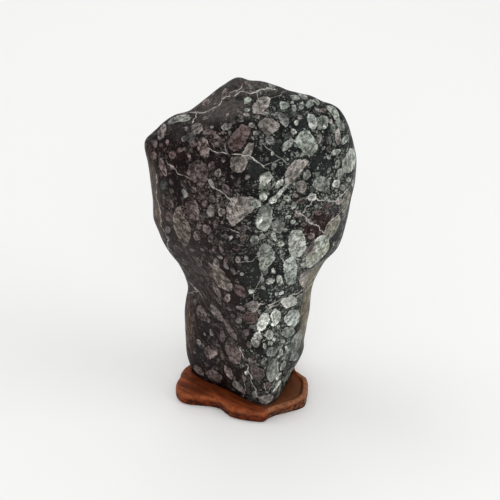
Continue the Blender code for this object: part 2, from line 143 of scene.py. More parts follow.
# Pebbles of the front by tone, where the picture shows them: pixel across, pixel down, half length and half
# width in pixels, and the lean of the long axis in degrees from level towards up-right. Those with a sixth value,
# 1, have a ringed border. A smaller pebble lies over a larger one.
PEBBLES = {
    "white": (
        (277.5, 378, 2, 1.6, 60), (280, 374, 1.7, 1.4, 0), (279.5, 383, 2.4, 1.4, 50),
        (276, 388, 4.5, 1.2, 52), (276, 316.5, 7.5, 5.2, 95), (263, 322, 9, 5.5, 60), (274, 324, 3, 2.2, 0),
        (281.5, 293, 3, 1.6, 20), (273.3, 271, 3.2, 1.7, 110), (259, 222, 5, 2.6, 62),
        (246.5, 373, 2.2, 2.2, 0), (273, 200, 5, 3, 40),
    ),
    "bright": (
        (297, 246, 12, 8.5, 92), (289.5, 302, 8.5, 5.5, 10), (266, 178, 6.8, 5, 50),
        (263.3, 197, 4.4, 3.6, 80), (279, 194, 6, 2.2, 52), (279, 184, 5.5, 3.2, 45),
        (284.5, 188.5, 3, 2, 50), (296.5, 122.5, 2.7, 2.3, 80), (293.5, 132, 3, 2.8, 0),
        (279.5, 280.5, 6.3, 3.2, 100), (270, 281, 5, 3.2, 30), (269.7, 334.5, 5.4, 4.4, 90, 1),
        (281, 243.5, 3.3, 3.1, 0, 1), (287, 198, 3.4, 3.3, 0, 1), (336.5, 184, 4.3, 3.9, 20, 1),
        (256.5, 339.5, 8.3, 4.8, 75), (276.5, 294, 2.2, 1.6, 80), (263, 287.5, 2, 1.6, 0),
        (274.7, 339.5, 2.1, 2, 0, 1), (271.2, 343.5, 2.2, 1.6, 80), (264.7, 346, 3.4, 1.8, 110),
        (282.5, 341, 3.4, 2, -40, 1), (287, 350, 4.5, 1.6, 110), (278.5, 327, 2.3, 1.5, 90),
        (303, 264.5, 3, 2.3, -30), (288, 217, 3, 1.8, 20), (312, 197, 5.4, 3.4, 5, 1),
        (325.5, 126, 3.4, 1.8, 60), (349, 180, 2.5, 2.4, 0), (292, 102.5, 1.8, 1.6, 90),
        (278.5, 356.5, 1.8, 1.6, 0), (272.5, 153.5, 2.6, 1.5, 90), (231, 237.5, 2.4, 1.6, 60),
    ),
    "green_light": (
        (307.5, 143.5, 12, 10.5, 60), (333.5, 111, 9.5, 4, -52), (284, 105.5, 5, 4.1, -30),
        (295, 97.5, 5, 3, -25), (303.5, 96.2, 5, 2.5, -38), (316.5, 101.5, 4.6, 2.6, -50),
        (294, 108, 4.4, 2.3, 100), (301.5, 105.5, 4.6, 2.3, 75), (247.5, 100.5, 4.5, 3, 45),
        (247, 110, 3, 2, 20), (262, 186.5, 3.3, 3, 90), (255.5, 204.5, 5.2, 3.8, 0),
        (297, 233.5, 6, 3.4, 0), (322.5, 241, 6, 5, 55), (262.5, 266.5, 5, 3.5, -60),
        (274, 236, 5, 2.2, 110), (345.8, 139, 6, 2.8, 55), (337.5, 164, 5, 2.7, 75, 1),
        (336, 152, 5.5, 2.8, 25), (353, 183, 4, 1.6, 86), (185.5, 119.5, 6, 2.2, 12),
        (251, 291.5, 3, 2.3, 0), (283, 366, 5, 2.2, 70), (281, 352, 4, 2, 95, 1), (293, 222, 3, 2, 0),
        (293.7, 205.7, 3.2, 3, 60), (350, 161, 13, 6.2, 72),
    ),
    "green": (
        (178, 118.5, 12, 4, 14), (288, 376, 3.2, 8, -35), (265, 255, 11, 8.8, 92),
        (254.5, 240, 4.9, 4.6, 90), (264.5, 217, 14, 7.4, 95), (322, 184, 9, 7.4, 10),
        (296.5, 343, 12, 5.4, 70), (288.2, 332, 7, 5.4, 15), (272.8, 370, 12, 6, 84),
        (272.2, 352, 5.6, 4.8, 40, 1), (322.5, 122.5, 8, 5.6, 50), (287.5, 145, 8, 3.5, 50),
        (310, 103, 5, 3.3, 65), (340, 174, 5, 4, 60), (341, 125, 7, 4, -55), (284.5, 357, 4.5, 1.9, 70),
        (255, 394.5, 3.8, 2.6, 118), (294.5, 357, 5, 3.8, 30),
    ),
    "grey": (
        (278.5, 225.5, 7, 6, 95), (283.5, 119, 8.5, 4, 116), (307, 175, 5.4, 3.8, 70),
        (329.5, 138, 4.5, 2.2, 100, 1), (329, 157, 2.4, 2, 0), (329, 170, 3, 1.7, 60),
        (343, 188, 3.4, 3, 0), (270, 140, 5.5, 4, -45, 1), (261.5, 142, 3, 2.3, 90), (252, 125, 3.5, 3, 0),
        (256, 133, 3, 2.5, 20), (262, 236.5, 3.4, 3, 0), (262, 279.5, 3, 2.5, 90),
        (184.8, 193, 4.8, 2.6, 110), (183.8, 138.6, 3.2, 2.5, 90), (186.5, 128.5, 2.5, 1.7, 100),
        (226, 126.5, 5, 3.8, 15), (211.5, 127, 2.1, 1.8, 0), (212, 184, 5.5, 2.1, 115),
        (246.5, 258, 3.1, 1.8, 110), (211.5, 333, 3.5, 1.7, 110), (198.5, 342.5, 3.5, 2.5, 110),
        (241.8, 366, 2.6, 2.2, 60), (237.5, 386.5, 7, 3.3, -45), (242, 274, 2, 1.7, 0),
        (292, 154, 3, 1.6, 50), (265.5, 113.5, 4.5, 1.8, 5), (264, 361, 4, 2.4, 60),
    ),
    "tan": (
        (268.5, 125.5, 10, 8.8, 15), (301, 187, 6.6, 5.6, 80, 1), (238.5, 165, 9.5, 8, 80),
        (247, 153, 10, 4.3, 58), (162, 131.5, 8.3, 4.1, 75), (196.5, 127.5, 6.7, 6.2, 0, 1),
        (247.5, 177.5, 3, 2.6, 90, 1), (229.5, 287, 4.7, 3, 80, 1), (319.5, 138, 4.5, 2.9, 80),
        (300, 117, 2.6, 2.4, 0), (257, 117, 3, 2.2, 10, 1), (218, 173, 4, 3.5, 70), (211, 211, 6, 4.1, 80),
        (221.5, 212.5, 4.2, 4.1, 0), (253.5, 306, 6.3, 6, 0, 1), (239, 321, 3.4, 2.9, 0),
        (216, 312.5, 10, 3.8, -55), (238, 259.5, 3.6, 2.5, 90), (216.5, 264, 5.5, 3, 100),
        (309, 221, 4, 2.6, -30),
    ),
    "tan_light": (
        (266.5, 400, 8, 4.2, 8), (297.5, 167.5, 14, 7, 37), (241, 208.5, 15, 9, 25),
        (261, 104.5, 12, 6.3, 47), (289.5, 180.5, 5.5, 3.4, 38), (338, 137, 8, 3.1, 93),
        (331, 121.5, 2.5, 2, 90), (339.5, 201.5, 4, 2.8, 20), (246.5, 114.5, 3, 2, 0),
        (227, 114.5, 2, 1.8, 0), (304.5, 278, 8, 3.6, 72),
    ),
    "olive": ((221, 279, 13, 6.4, -62), (181.5, 227.5, 18, 9, 113, 1), (199, 262, 5, 2.6, 115)),
    "olive_mid": ((332.5, 228, 12.5, 6, 58), (334.5, 243.5, 2.6, 1.8, 80), (346.5, 202, 12, 4.1, 78)),
    "cream": ((317, 254.5, 17, 7.8, 55),),
    "pale_green": ((312.5, 121, 8, 4.8, 105), (291, 272, 13.5, 6, 93), (293.5, 318, 8, 7.6, 0)),
    "mauve": (
        (198.5, 173.5, 11.5, 10.5, -40), (192.5, 210, 10.5, 5.8, 96), (301.5, 201, 5.5, 3, 25, 1),
        (310, 248, 7, 3.8, 65), (214, 376.5, 9, 5.8, -28), (257, 372.5, 9.5, 5.8, -55),
        (222, 355, 5, 2.3, 105), (222.5, 336, 6, 2.6, 95), (201.5, 313, 8.5, 4.8, -65),
        (155, 143.5, 4.3, 2.4, 100), (161, 145, 3.4, 1.6, 95), (211, 132, 5, 2.9, -15),
        (205, 132, 2.7, 2.1, 90), (216, 136.5, 2.5, 2, 0), (193, 144.5, 3.6, 3.3, 0),
        (220.5, 141, 4, 2.3, 100), (216, 144.5, 3, 2.3, 0), (211.5, 165.5, 4.6, 3.4, 70, 1),
        (225.5, 188.5, 5.5, 3.5, 115, 1), (193.5, 190, 3.9, 2.9, -50), (171, 203.5, 5, 2, 115),
        (167.5, 230, 4, 3, 80), (218.5, 194, 3.2, 2.8, 0), (218, 206, 2.4, 2.2, 0),
        (204.5, 203.5, 3.4, 2.9, 20), (216, 224, 4.6, 2.5, 95), (206.5, 229.5, 5.6, 3.7, -50),
        (199, 226, 3.6, 2.8, 90), (197, 236, 5, 3.4, 90), (210.5, 238, 4, 2.7, 80),
        (221.5, 247, 7, 2.3, 95), (243.5, 229, 4, 2.3, 90), (243.5, 237.5, 4, 2.9, 70),
        (225.7, 261.5, 3.2, 2.2, 90), (211.5, 274, 4, 2.3, 100), (203, 257, 3, 1.9, 80),
        (192.5, 250, 3.4, 1.6, -20), (195, 302, 3.6, 2, 80), (208, 320, 3, 1.7, 100),
        (246, 332.5, 3.6, 3.3, 90), (267, 386, 4.6, 4.3, 0), (249, 345, 4, 2.4, -70),
        (233, 271, 4, 1.8, 120),
    ),
    "mauve_light": (
        (233, 353, 13, 6.4, -63), (203.5, 148.5, 12, 6.2, 104), (162.5, 167, 9.5, 2.9, 110),
        (167.3, 142, 3.5, 1.8, 100), (227.5, 298, 5, 2.9, 80), (216.5, 290, 9, 2.3, -60),
        (230.5, 330.5, 12, 2.7, -58), (228.5, 372, 7.5, 3.5, -62), (198.5, 370.5, 7, 3.8, -45),
        (211, 352, 6.8, 6.3, 20), (240, 308, 4.5, 2, -15), (298, 214, 4, 3.3, 60, 1),
        (311, 236, 3.8, 3.6, 0, 1), (321.5, 110.3, 5.5, 2.1, 12), (224.4, 93.8, 7, 2.8, 75),
        (296, 195.5, 2.6, 1.8, -20), (223.5, 160, 2.5, 1.6, 90), (189, 156, 3, 1.6, -60),
        (185, 149, 3, 1.6, -50), (172, 167, 4, 1.6, -35), (214, 248.5, 2.7, 1.8, 80),
        (244, 378, 3.4, 1.9, 100), (242.5, 391, 4, 2, 110), (247.5, 83, 4, 1.7, -22), (212.5, 110, 3, 2, 0),
        (206, 102.5, 4.5, 3.4, 30), (251, 361, 3.4, 2.4, -60),
    ),
    "reddish": (
        (239, 138.5, 13.5, 8.6, 45), (240, 291, 8, 5.3, -52), (250, 318, 7.5, 7, 0, 1),
        (153.5, 156, 4.4, 3.5, 95, 1), (180, 150, 3.6, 2.5, 10), (172, 154.5, 4, 3.8, 0),
        (169, 217, 5, 3.8, 95), (327, 205, 5, 2.4, 20), (318, 212.5, 4, 2.6, 0), (201, 113, 3.4, 1.8, 0),
    ),
    "dark": ((190, 137, 6, 4.8, 20), (275, 393, 4, 3.6, 0), (164, 185, 5, 4, 90), (334, 210, 4, 3, 80)),
}

# Large pebbles with plain straight sides, by centre: the corners of their outline in pixels, clockwise.
STRAIGHT_SIDED = {
    (241, 208.5): (
        (231, 199), (238, 197), (251, 198), (260.5, 204), (233, 225.5), (228, 221), (226.5, 210),
    ),
    (198.5, 173.5): (
        (197, 160), (203, 162), (209, 170), (207, 179), (201.5, 188), (196, 184), (187, 174), (188, 166),
    ),
    (307.5, 143.5): (
        (295, 141), (301, 132.5), (309, 130.5), (319, 146), (316, 152), (309.5, 156), (303, 152),
    ),
    (264.5, 217): (
        (262, 207), (268, 204.5), (272, 210), (272, 222), (266, 231), (258, 229), (255.5, 223), (258, 213),
    ),
    (297.5, 167.5): (
        (295, 160), (309.5, 160.5), (303, 170), (294, 181), (289, 185), (285.5, 181), (285.5, 172),
    ),
    (238.5, 165): ((231, 157), (246, 157), (248, 163), (244, 171), (238, 173), (232, 170), (230, 163)),
    (247, 153): ((248.5, 143), (254.5, 143.5), (252, 152), (248, 160), (241, 162), (241, 156)),
    (239, 138.5): (
        (241, 126), (247, 126.5), (250, 132), (246.5, 141), (240, 149), (231, 150.5), (227.5, 145),
        (230.5, 136),
    ),
    (203.5, 148.5): ((198, 138), (203.5, 137), (209, 144), (210, 152), (207, 159), (202, 157), (197, 147)),
    (317, 254.5): (
        (315, 238), (324, 235), (330, 242), (330.5, 250), (320, 262), (311, 270), (306, 266), (306.5, 258),
    ),
    (291, 272): (
        (287, 260), (293, 257.5), (296.5, 263), (297.5, 275), (297, 285), (289, 286), (285, 278),
        (284, 264),
    ),
    (297, 246): (
        (290, 231.5), (301, 231), (305, 238), (306, 250), (302, 256.5), (294, 258), (289.5, 252),
        (288, 245),
    ),
    (265, 255): (
        (262, 245), (268, 244.5), (274, 251), (275, 258), (271, 264), (266, 267), (260, 262), (257, 254),
    ),
    (293.5, 318): (
        (290, 310), (297, 309.5), (300.5, 314), (300, 322), (295, 327), (288, 325), (284.5, 320),
        (286, 315),
    ),
    (181.5, 227.5): (
        (175, 211), (179, 209), (186, 219), (191, 228), (190, 239), (185, 247), (180, 243), (173, 229),
        (172, 219),
    ),
    (304.5, 278): ((303, 270), (309, 268), (309, 279), (303, 287), (299, 283), (300, 274)),
}

# Patches of the front in pixels: across, down, half width, half height, and a strength where it is not 1. There is
# plain dark rock, a painted sheen that makes the up-facing top paler and smoother, and rock where fragments are thick
# on the ground.
PLAIN_PATCHES = (
    (255, 168, 8, 9), (249, 274, 11, 13), (268, 292, 8, 7), (178, 133, 6, 9), (275, 155, 5, 11),
    (321, 164, 10, 10), (303, 126, 6, 7), (303, 113, 4, 7), (206, 324, 8, 8), (205, 362, 8, 7),
)
TOP_SHEEN_PATCHES = ((218, 106, 34, 15, 0.9), (250, 88, 36, 9, 0.7))
CROWDED_PATCHES = (
    (277, 322, 24, 50), (279, 384, 6, 16), (300, 250, 20, 32), (294, 206, 24, 15), (284, 184, 22, 22),
    (330, 190, 20, 26), (268, 238, 18, 14), (320, 150, 26, 22), (206, 205, 30, 22), (215, 140, 18, 10),
)
HIDDEN_CROWD = 0.4

# Veins of the front as (half width in millimetres, layer, strength, pixels along it). Veins that cross are on
# different layers.
VEINS = (
    (0.44, 0, 0.9, (
        (210, 149), (213, 151.5), (218, 152.5), (225, 153), (231, 154.5), (238, 153.5), (244, 154),
        (250, 157), (257, 160.5), (262, 163.5), (266.5, 168),
    )),
    (0.34, 1, 0.7, ((225.5, 146), (226, 150), (227.5, 153.5))),
    (0.32, 1, 0.5, ((263, 164.5), (269, 163), (274, 162), (280, 160))),
    (0.32, 0, 0.55, ((262, 143), (270, 150), (277, 156), (283, 160), (288, 164))),
    (0.36, 0, 0.7, ((168, 162.5), (173, 168), (180, 174), (190, 178))),
    (0.4, 1, 0.8, ((209, 181), (213, 188), (219, 190.5), (225, 195), (230, 199.5), (233, 206), (238, 214))),
    (0.55, 1, 0.9, ((180, 113.5), (190, 111.5), (195, 113), (196, 117), (193, 122))),
    (0.48, 0, 0.85, (
        (195, 113), (203, 112.5), (210, 110), (216, 107.5), (221, 103), (223, 99), (228, 96.5), (234, 96),
        (238, 94), (241, 92), (246, 92.5), (251, 94.5), (256, 92.3), (260, 89.3), (266, 88), (274, 88.8),
    )),
    (0.36, 1, 0.8, ((229, 93.5), (234, 91), (238, 90), (242, 85))),
    (0.34, 1, 0.7, ((257, 92.5), (258.5, 98.5))),
    (0.3, 0, 0.5, ((271, 98), (279, 95.5), (286, 91))),
    (0.62, 0, 0.95, (
        (259, 304), (266, 304.2), (273, 303.8), (278, 301), (284, 298.5), (290, 296.5), (296, 294),
        (302, 290), (307, 284.5), (312, 279), (318, 272),
    )),
    (0.36, 1, 0.7, ((254, 299), (254, 292), (257, 285), (261, 279), (261, 273))),
    (0.36, 1, 0.7, ((262, 314), (268, 308.5), (275, 306), (281, 302.5))),
    (0.5, 1, 0.8, ((283, 305), (291, 301), (299, 296), (307, 289), (315, 279))),
    (0.72, 0, 0.95, ((240, 349), (242.5, 354), (244.5, 359), (247, 364.5), (248.5, 370), (250.5, 378))),
    (0.44, 0, 0.85, ((250.5, 378), (252.5, 385), (255.5, 391), (258, 397))),
    (0.4, 1, 0.7, ((243, 375), (244, 382), (246, 389), (243, 396))),
    (0.52, 1, 0.75, (
        (156, 176), (157, 190), (155.5, 197), (158.5, 203), (160, 212), (160.5, 222), (163, 230),
        (167, 238), (168, 247), (172, 255),
    )),
    (0.58, 0, 0.9, (
        (296, 211.5), (302, 214.5), (306, 218.5), (311, 222.5), (316, 226.5), (320, 229.5), (324, 231.5),
    )),
    (0.6, 1, 0.9, (
        (303, 212), (307, 206.5), (311, 205), (312.5, 201), (317, 200.5), (320, 201), (323, 198.5),
        (327, 198), (331, 200.5), (335, 200), (339, 198), (343, 194), (347, 190),
    )),
    (0.36, 0, 0.7, ((231, 230), (238, 233))),
    (0.36, 0, 0.8, ((333, 219), (341, 211))),
    (0.36, 0, 0.7, ((239, 262), (246, 261.5), (251, 261), (257, 257))),
    (0.36, 1, 0.7, ((280, 250), (280.5, 258), (285, 263))),
    (0.44, 1, 0.8, ((296, 258), (300, 260.5), (306, 258))),
    (0.44, 1, 0.7, ((189, 282), (194, 287), (199, 291.5), (202, 296))),
    (0.4, 0, 0.6, ((188, 294), (193, 292), (198, 290))),
    (0.6, 1, 0.9, ((278, 362), (277.5, 370), (278.5, 378))),
    (0.32, 0, 0.8, ((273, 392), (276, 387), (279, 382.5))),
    (0.52, 1, 0.9, ((279.5, 384), (280, 390), (277, 396.5))),
    (0.3, 1, 0.85, ((268.5, 391), (272, 386), (275, 381), (276.5, 376))),
    (0.28, 0, 0.7, ((264, 384), (266, 390), (269.5, 395))),
)
# Veins of the back and sides, as (half width, layer, strength, (turn round the stone in degrees, height) along it).
HIDDEN_VEINS = (
    (0.5, 0, 0.8, ((62, 226), (70, 206), (84, 192), (96, 170), (99, 152), (112, 136), (118, 118))),
    (0.4, 1, 0.7, ((84, 192), (74, 176), (66, 168), (52, 160))),
    (0.5, 0, 0.8, ((20, 96), (40, 88), (62, 84), (80, 70), (98, 66), (120, 52))),
    (0.4, 1, 0.7, ((150, 214), (144, 196), (150, 178), (146, 160))),
    (0.4, 0, 0.7, ((10, 206), (18, 188), (14, 168), (24, 150))),
)
VEIN_BAND = 3.2
VEIN_SPREAD = 0.42

# Streaks in the rock, as (X, Y, Z, three radii, strength): slanting down to the right, and straight up and down.
# Rock of a redder ground is given in the same way.
SLANT_STREAKS = (
    (-40, -22, 112, 20, 20, 40, 1.0), (-18, -30, 62, 20, 16, 42, 0.6), (2, -38, 34, 16, 14, 28, 0.5),
)
UPRIGHT_STREAKS = (
    (-70, -6, 168, 12, 20, 46, 0.9), (-46, 4, 62, 9, 16, 34, 0.8), (51, 7, 76, 7, 16, 40, 1.0),
    (58, -5, 104, 10, 14, 17, 1.0), (58, 26, 112, 20, 18, 44, 0.45),
)
RED_ROCK = ((55, -20, 166, 18, 18, 13, 1.0), (-22, -22, 118, 24, 20, 34, 0.8))
SLANT_WAY = (0.44, -0.40, -0.80)
UPRIGHT_WAY = (0.02, 0.05, 1.0)

# Pebbles scattered where no listed pebble is placed: how many are tried, and the range of their radii.
SCATTER_SEED = 23
SCATTER = ((110, 7.0, 10.5), (420, 4.4, 7.0), (1300, 2.6, 4.4), (4200, 1.4, 2.6))
LARGEST_ON_FRONT = 3.0
KEPT_ON_FRONT = 0.36
HIDDEN_LIGHT = 1.28
RINGED_SHARE = 0.12
PEBBLE_GAP = 0.95
LEFT_TONES = ("mauve", "mauve", "grey", "mauve_light", "olive", "dark", "reddish", "tan")
RIGHT_TONES = ("green", "grey", "green_light", "bright", "mauve", "tan", "dark", "grey")
NO_PEBBLE = 4.0

# The stand, with the same values as its solid.
OUTLINE = (
    (51.3, -2.5), (47, 4), (43, 10), (42, 15), (41.5, 22), (38.5, 31), (31, 39.5), (18, 45), (0, 46),
    (-18, 44), (-31, 37.5), (-38.5, 27), (-41.5, 19.8), (-44.6, 16.8), (-47.4, 13.4), (-49.6, 8.2),
    (-50.5, 2), (-52.5, -4), (-53, -9), (-51.5, -15.5), (-48, -20), (-43, -22.3), (-35, -23.8), (-27, -25),
    (-21, -26.7), (-16, -30), (-12.5, -34.5), (-9, -38), (-3, -40.8), (4, -42.7), (11, -44), (17, -44.3),
    (21.5, -42.5), (28, -38.5), (34, -35.8), (42, -31.5), (46.5, -27.6), (49.8, -23.3), (50.7, -19),
    (51.5, -14), (51.8, -8),
)
PLAIN_LIP = (
    (1.8, 0), (0.7, 0.5), (0.2, 1.8), (0.0, 4.9), (0.2, 7.4),
    (1.0, 8.9), (2.3, 9.6), (3.8, 9.95), (5.4, 10.0), (7.0, 10.0),
)
RIM_LIP = (
    (4.2, 0), (3.2, 0.6), (2.4, 2.0), (1.2, 5.0), (0.1, 8.4),
    (0.2, 9.9), (1.0, 10.8), (3.2, 10.9), (4.2, 10.0), (5.4, 8.6),
)
RIM_SPAN_DEG = (-66, 9)
RIM_FADE_DEG = 9
# The first points of the rim's lip are its side. It stands upright at the right end: its inset shrinks to a share.
RIM_SIDE_POINTS = 5
STEEP_TURN_DEG = (-44, -26)
STEEP_SHARE = 0.15
FLOOR_HEIGHT = 9.2
FLOOR_SLOPE_X = -0.014
SEAT_BOTTOM = 5.7
SEAT_CLEARANCE = 0.45
SEAT_ROUND = 0.7
NARROWEST_LEDGE = 1.4
# Levels at which the profile ends its lip, reaches the seat's edge, and is round it.
LIP_END, EDGE_START, EDGE_END = 0.62, 0.86, 0.93
STAND_COLUMNS, STAND_ROWS = 560, 96
GRAIN_WAY = (0.80, -0.60, 0.0)
# Marks of the gouge on the wood: how many waves, their lengths, and their height as a share of the length.
MARK_WAVES, MARK_LENGTHS, MARK_SHARE, MARK_SEED = 7, (3.2, 9.5), 0.016, 5
MARK_LEVEL = 0.64


def along(place, stops, values):
    """A smooth curve through the values at the stops: cubic pieces whose slopes come from the neighbours."""
    stops, values = np.asarray(stops, float), np.asarray(values, float)
    slopes = np.gradient(values, stops, axis=0)
    place = np.clip(place, stops[0], stops[-1])
    i = np.clip(np.searchsorted(stops, place, side="right") - 1, 0, len(stops) - 2)
    step = stops[i + 1] - stops[i]
    t = (place - stops[i]) / step
    return (
        ((2 * t - 3) * t * t + 1) * values[i] + (3 - 2 * t) * t * t * values[i + 1]
        + ((t - 2) * t + 1) * t * step * slopes[i] + (t - 1) * t * t * step * slopes[i + 1]
    )


def soft_max(parts, blend):
    """The largest of the parts, rounded over the blend: blend times the log of the sum of their exponentials."""
    top = np.max(parts, axis=0)
    return top + blend * np.log(sum(np.exp((part - top) / blend) for part in parts))


def soft_rise(amount, blend):
    """Half of the amount plus the root of its square plus the blend's square: a rounded step up from nothing."""
    return 0.5 * (amount + np.sqrt(amount * amount + blend * blend))


def ease(value, low, high):
    """0 below low, 1 above high, and three t squared less two t cubed between."""
    t = np.clip((value - low) / (high - low), 0, 1)
    return t * t * (3 - 2 * t)


def unit(vectors):
    return vectors / np.maximum(np.linalg.norm(vectors, axis=-1, keepdims=True), 1e-9)


def halve(near, far, inside, halvings=HALVINGS):
    """Halves the stretch from near to far again and again, and keeps the half where inside turns false."""
    for _ in range(halvings):
        middle = (near + far) / 2
        hit = inside(middle)
        near, far = np.where(hit, middle, near), np.where(hit, far, middle)
    return near, far


def waves(x, y, z, seed, count, lengths, turn, shape):
    """A sum of waves in scattered directions: each is the shape of an angle that grows by the turn over one length,
    times that length."""
    rng = np.random.default_rng(seed)
    total = 0.0
    for length in np.geomspace(*lengths, count):
        way = unit(rng.normal(size=3)) * turn / length
        total = total + length * shape(x * way[0] + y * way[1] + z * way[2] + rng.uniform(0, turn))
    return total


def dents(x, y, z, places):
    """Bell-shaped hills of depth, each with its own centre, three radii and height."""
    return sum(
        depth * np.exp(-sum(((p - c) / r) ** 2 for p, c, r in zip((x, y, z), centre, radii)))
        for centre, radii, depth in places
    )


def section_field(x, y, z):
    """Distance outside the level section: the rounded largest of the distances beyond its seven sides, with a
    hollow side and a toe that draws in by the square of the way down to the foot."""
    corners = [[along(z, RIDGE_HEIGHTS, values) for values in zip(*ridge)] for ridge in RIDGES.values()]
    sides = []
    for (ax, ay), (bx, by) in zip(corners, corners[1:] + corners[:1]):
        run, rise = bx - ax, by - ay
        sides.append(((x - ax) * rise - (y - ay) * run) / np.hypot(run, rise))
    rounding = along(z, CORNER_HEIGHTS, CORNER_ROUNDS)
    toe = TOE_INSET * np.clip((TOE_HEIGHTS[1] - z) / (TOE_HEIGHTS[1] - TOE_HEIGHTS[0]), 0, 1) ** 2
    return soft_max(sides, rounding) - ROUND_SHARE * rounding + toe + dents(x, y, z, HOLLOWS)


def top_height(x, y):
    """Height of the top: the crest's height less a fall in front of the crest and another behind it."""
    stops, depths, heights = zip(*CREST)
    offset = y - along(x, stops, depths)
    front = along(x, *zip(*FRONT_FALL)) * soft_rise(-offset, CREST_ROUND)
    back = along(x, *zip(*BACK_FALL)) * soft_rise(offset, CREST_ROUND)
    return along(x, stops, heights) - front - back


def swells(x, y, z):
    """Slow unevenness: waves that are softened zigzags, none of them near the foot."""
    zigzags = waves(
        x, y, z, SWELL_SEED, SWELLS, SWELL_LENGTHS, 2 * math.pi,
        lambda angle: np.arcsin(SWELL_SOFTNESS * np.sin(angle)),
    )
    return SWELL_SHARE * zigzags * ease(z, *SWELL_FREE_HEIGHTS)


def stone_field(spots):
    """Negative inside the stone: section and top joined by a rounded maximum, with dents, swells and a flat foot."""
    x, y, z = np.moveaxis(spots, -1, 0)
    top = (z - top_height(x, y)) * TOP_SHARE
    field = soft_max([section_field(x, y, z), top], along(x, *zip(*TOP_ROUNDS)))
    return soft_max([field + dents(x, y, z, DENTS) + swells(x, y, z), FOOT_HEIGHT - z], FOOT_ROUND)


def leave_stone(start, way):
    """The point where each ray leaves the stone, halved between an inner and an outer point."""
    near, far = halve(
        np.zeros(way.shape[:-1]), np.full(way.shape[:-1], REACH),
        lambda middle: stone_field(start + way * middle[..., None]) < 0,
    )
    return start + way * ((near + far) / 2)[..., None]


def stone_surface(turn, rise):
    """Point of the skin for a turn round the stone and a rise from foot to top: the ray of that turn points straight
    down at rise 0, swings level, climbs an upright axis, and swings straight up at rise 1."""
    climb = np.clip((rise - LOW_TURN) / (HIGH_TURN - LOW_TURN), 0, 1)[..., None]
    up = np.clip((rise - HIGH_TURN) / (1 - HIGH_TURN), 0, 1)
    down = np.clip(1 - rise / LOW_TURN, 0, 1)
    tilt = (up - down) * math.pi / 2
    angle = 2 * math.pi * turn
    way = np.stack([np.cos(tilt) * np.cos(angle), np.cos(tilt) * np.sin(angle), np.sin(tilt)], axis=-1)
    return leave_stone(AXIS_LOW * (1 - climb) + AXIS_HIGH * climb, way)


def even_rises():
    """Rises that step evenly over the skin: the mean path from foot to top is measured and cut in equal lengths, but
    few fall where the seat hides the skin."""
    rise = np.linspace(0, 1, 321)
    path = stone_surface(*np.meshgrid(np.arange(12) / 12, rise))
    steps = np.linalg.norm(np.diff(path, axis=0), axis=-1).mean(axis=1)
    hidden = path[1:, :, 2].mean(axis=1) < HIDDEN_HEIGHT
    length = np.concatenate([[0], np.cumsum(steps * np.where(hidden, HIDDEN_SHARE, 1.0))])
    return np.interp(np.linspace(0, length[-1], STONE_ROWS + 2), length, rise)


def crowded_turns():
    """Turns round the stone, closest together at the front: an even step plus a sine, steepest at the back."""
    step = np.arange(STONE_COLUMNS) / STONE_COLUMNS
    return step - FRONT_CROWDING / (2 * math.pi) * np.sin(2 * math.pi * (step - FRONT_TURN))


def to_picture(spots):
    """Pixel of each point: its offset right and up from the aim, over its depth, times the picture's scale."""
    away = spots - AIM
    scale = PICTURE * LENS / SENSOR / (CAMERA_DISTANCE + away @ FORWARD)
    return np.stack([PICTURE / 2 + scale * (away @ RIGHT), PICTURE / 2 - scale * (away @ UP)], axis=-1)


def from_picture(pixels):
    """The first point of the stone on the line of sight of each pixel: marched in steps, then halved."""
    offset = (np.asarray(pixels, float) - PICTURE / 2) * SENSOR / LENS / PICTURE
    way = unit(FORWARD + offset[:, :1] * RIGHT - offset[:, 1:] * UP)
    inside = stone_field(EYE + way[:, None, :] * SIGHT_STEPS[:, None]) < 0
    first = np.where(inside.any(axis=1), inside.argmax(axis=1), len(SIGHT_STEPS) // 2)
    far = halve(
        SIGHT_STEPS[first] - (SIGHT_STEPS[1] - SIGHT_STEPS[0]), SIGHT_STEPS[first],
        lambda middle: stone_field(EYE + way * middle[:, None]) >= 0, SIGHT_HALVINGS,
    )[1]
    return EYE + way * far[:, None], inside.any(axis=1)


def skin_normal(spots):
    """Outward direction of the skin: the rise of the stone's field in X, Y and Z over a short step."""
    return unit(np.stack([stone_field(spots + step) - stone_field(spots - step) for step in np.eye(3) * 0.6], axis=-1))


def display(colour):
    """Light from a display colour, by the usual screen curve."""
    share = np.asarray(colour, float) / 255
    return np.where(share <= 0.04045, share / 12.92, ((share + 0.055) / 1.055) ** 2.4)


def pebble(rng, centre, normal, long_way, short_way, tone, ring, light=1.0):
    """One pebble: a many-cornered outline in the plane of its two half axes, with a tone and a lean of light."""
    least, reach = sorted(np.linalg.norm([long_way, short_way], axis=1))
    corners = rng.integers(6, 10)
    angles = (np.arange(corners) + rng.uniform(-0.30, 0.30, corners)) * 2 * math.pi / corners
    return {
        "centre": centre, "normal": normal, "long": long_way, "short": short_way, "reach": reach,
        "angles": angles + rng.uniform(0, 6), "offsets": rng.uniform(0.84, 1.06, corners),
        "tone": display(np.array(TONES[tone]) * rng.uniform(0.95, 1.05) * light),
        "lean": rng.uniform(-0.46, 0.46, 2), "kind": (float(ring), min(least / 6, 1.0), rng.random()),
    }


def straight_outline(centre, corners, lay):
    """Sides of an outline given by its corners: each faces square to the run between two corners, at the distance of
    that run from the centre as a share of the outline's reach. lay turns a length and an angle into a way."""
    spots = np.array(corners) - centre
    run = np.roll(spots, -1, axis=0) - spots
    reach = np.linalg.norm(spots, axis=1).max()
    away = (spots * unit(np.stack([run[:, 1], -run[:, 0]], axis=-1))).sum(axis=1)
    ways = {"long": lay(reach, 0.0), "short": lay(reach, math.pi / 2)}
    return {
        **ways, "reach": max(np.linalg.norm(way) for way in ways.values()),
        "angles": np.arctan2(run[:, 0], run[:, 1]), "offsets": away / reach,
    }


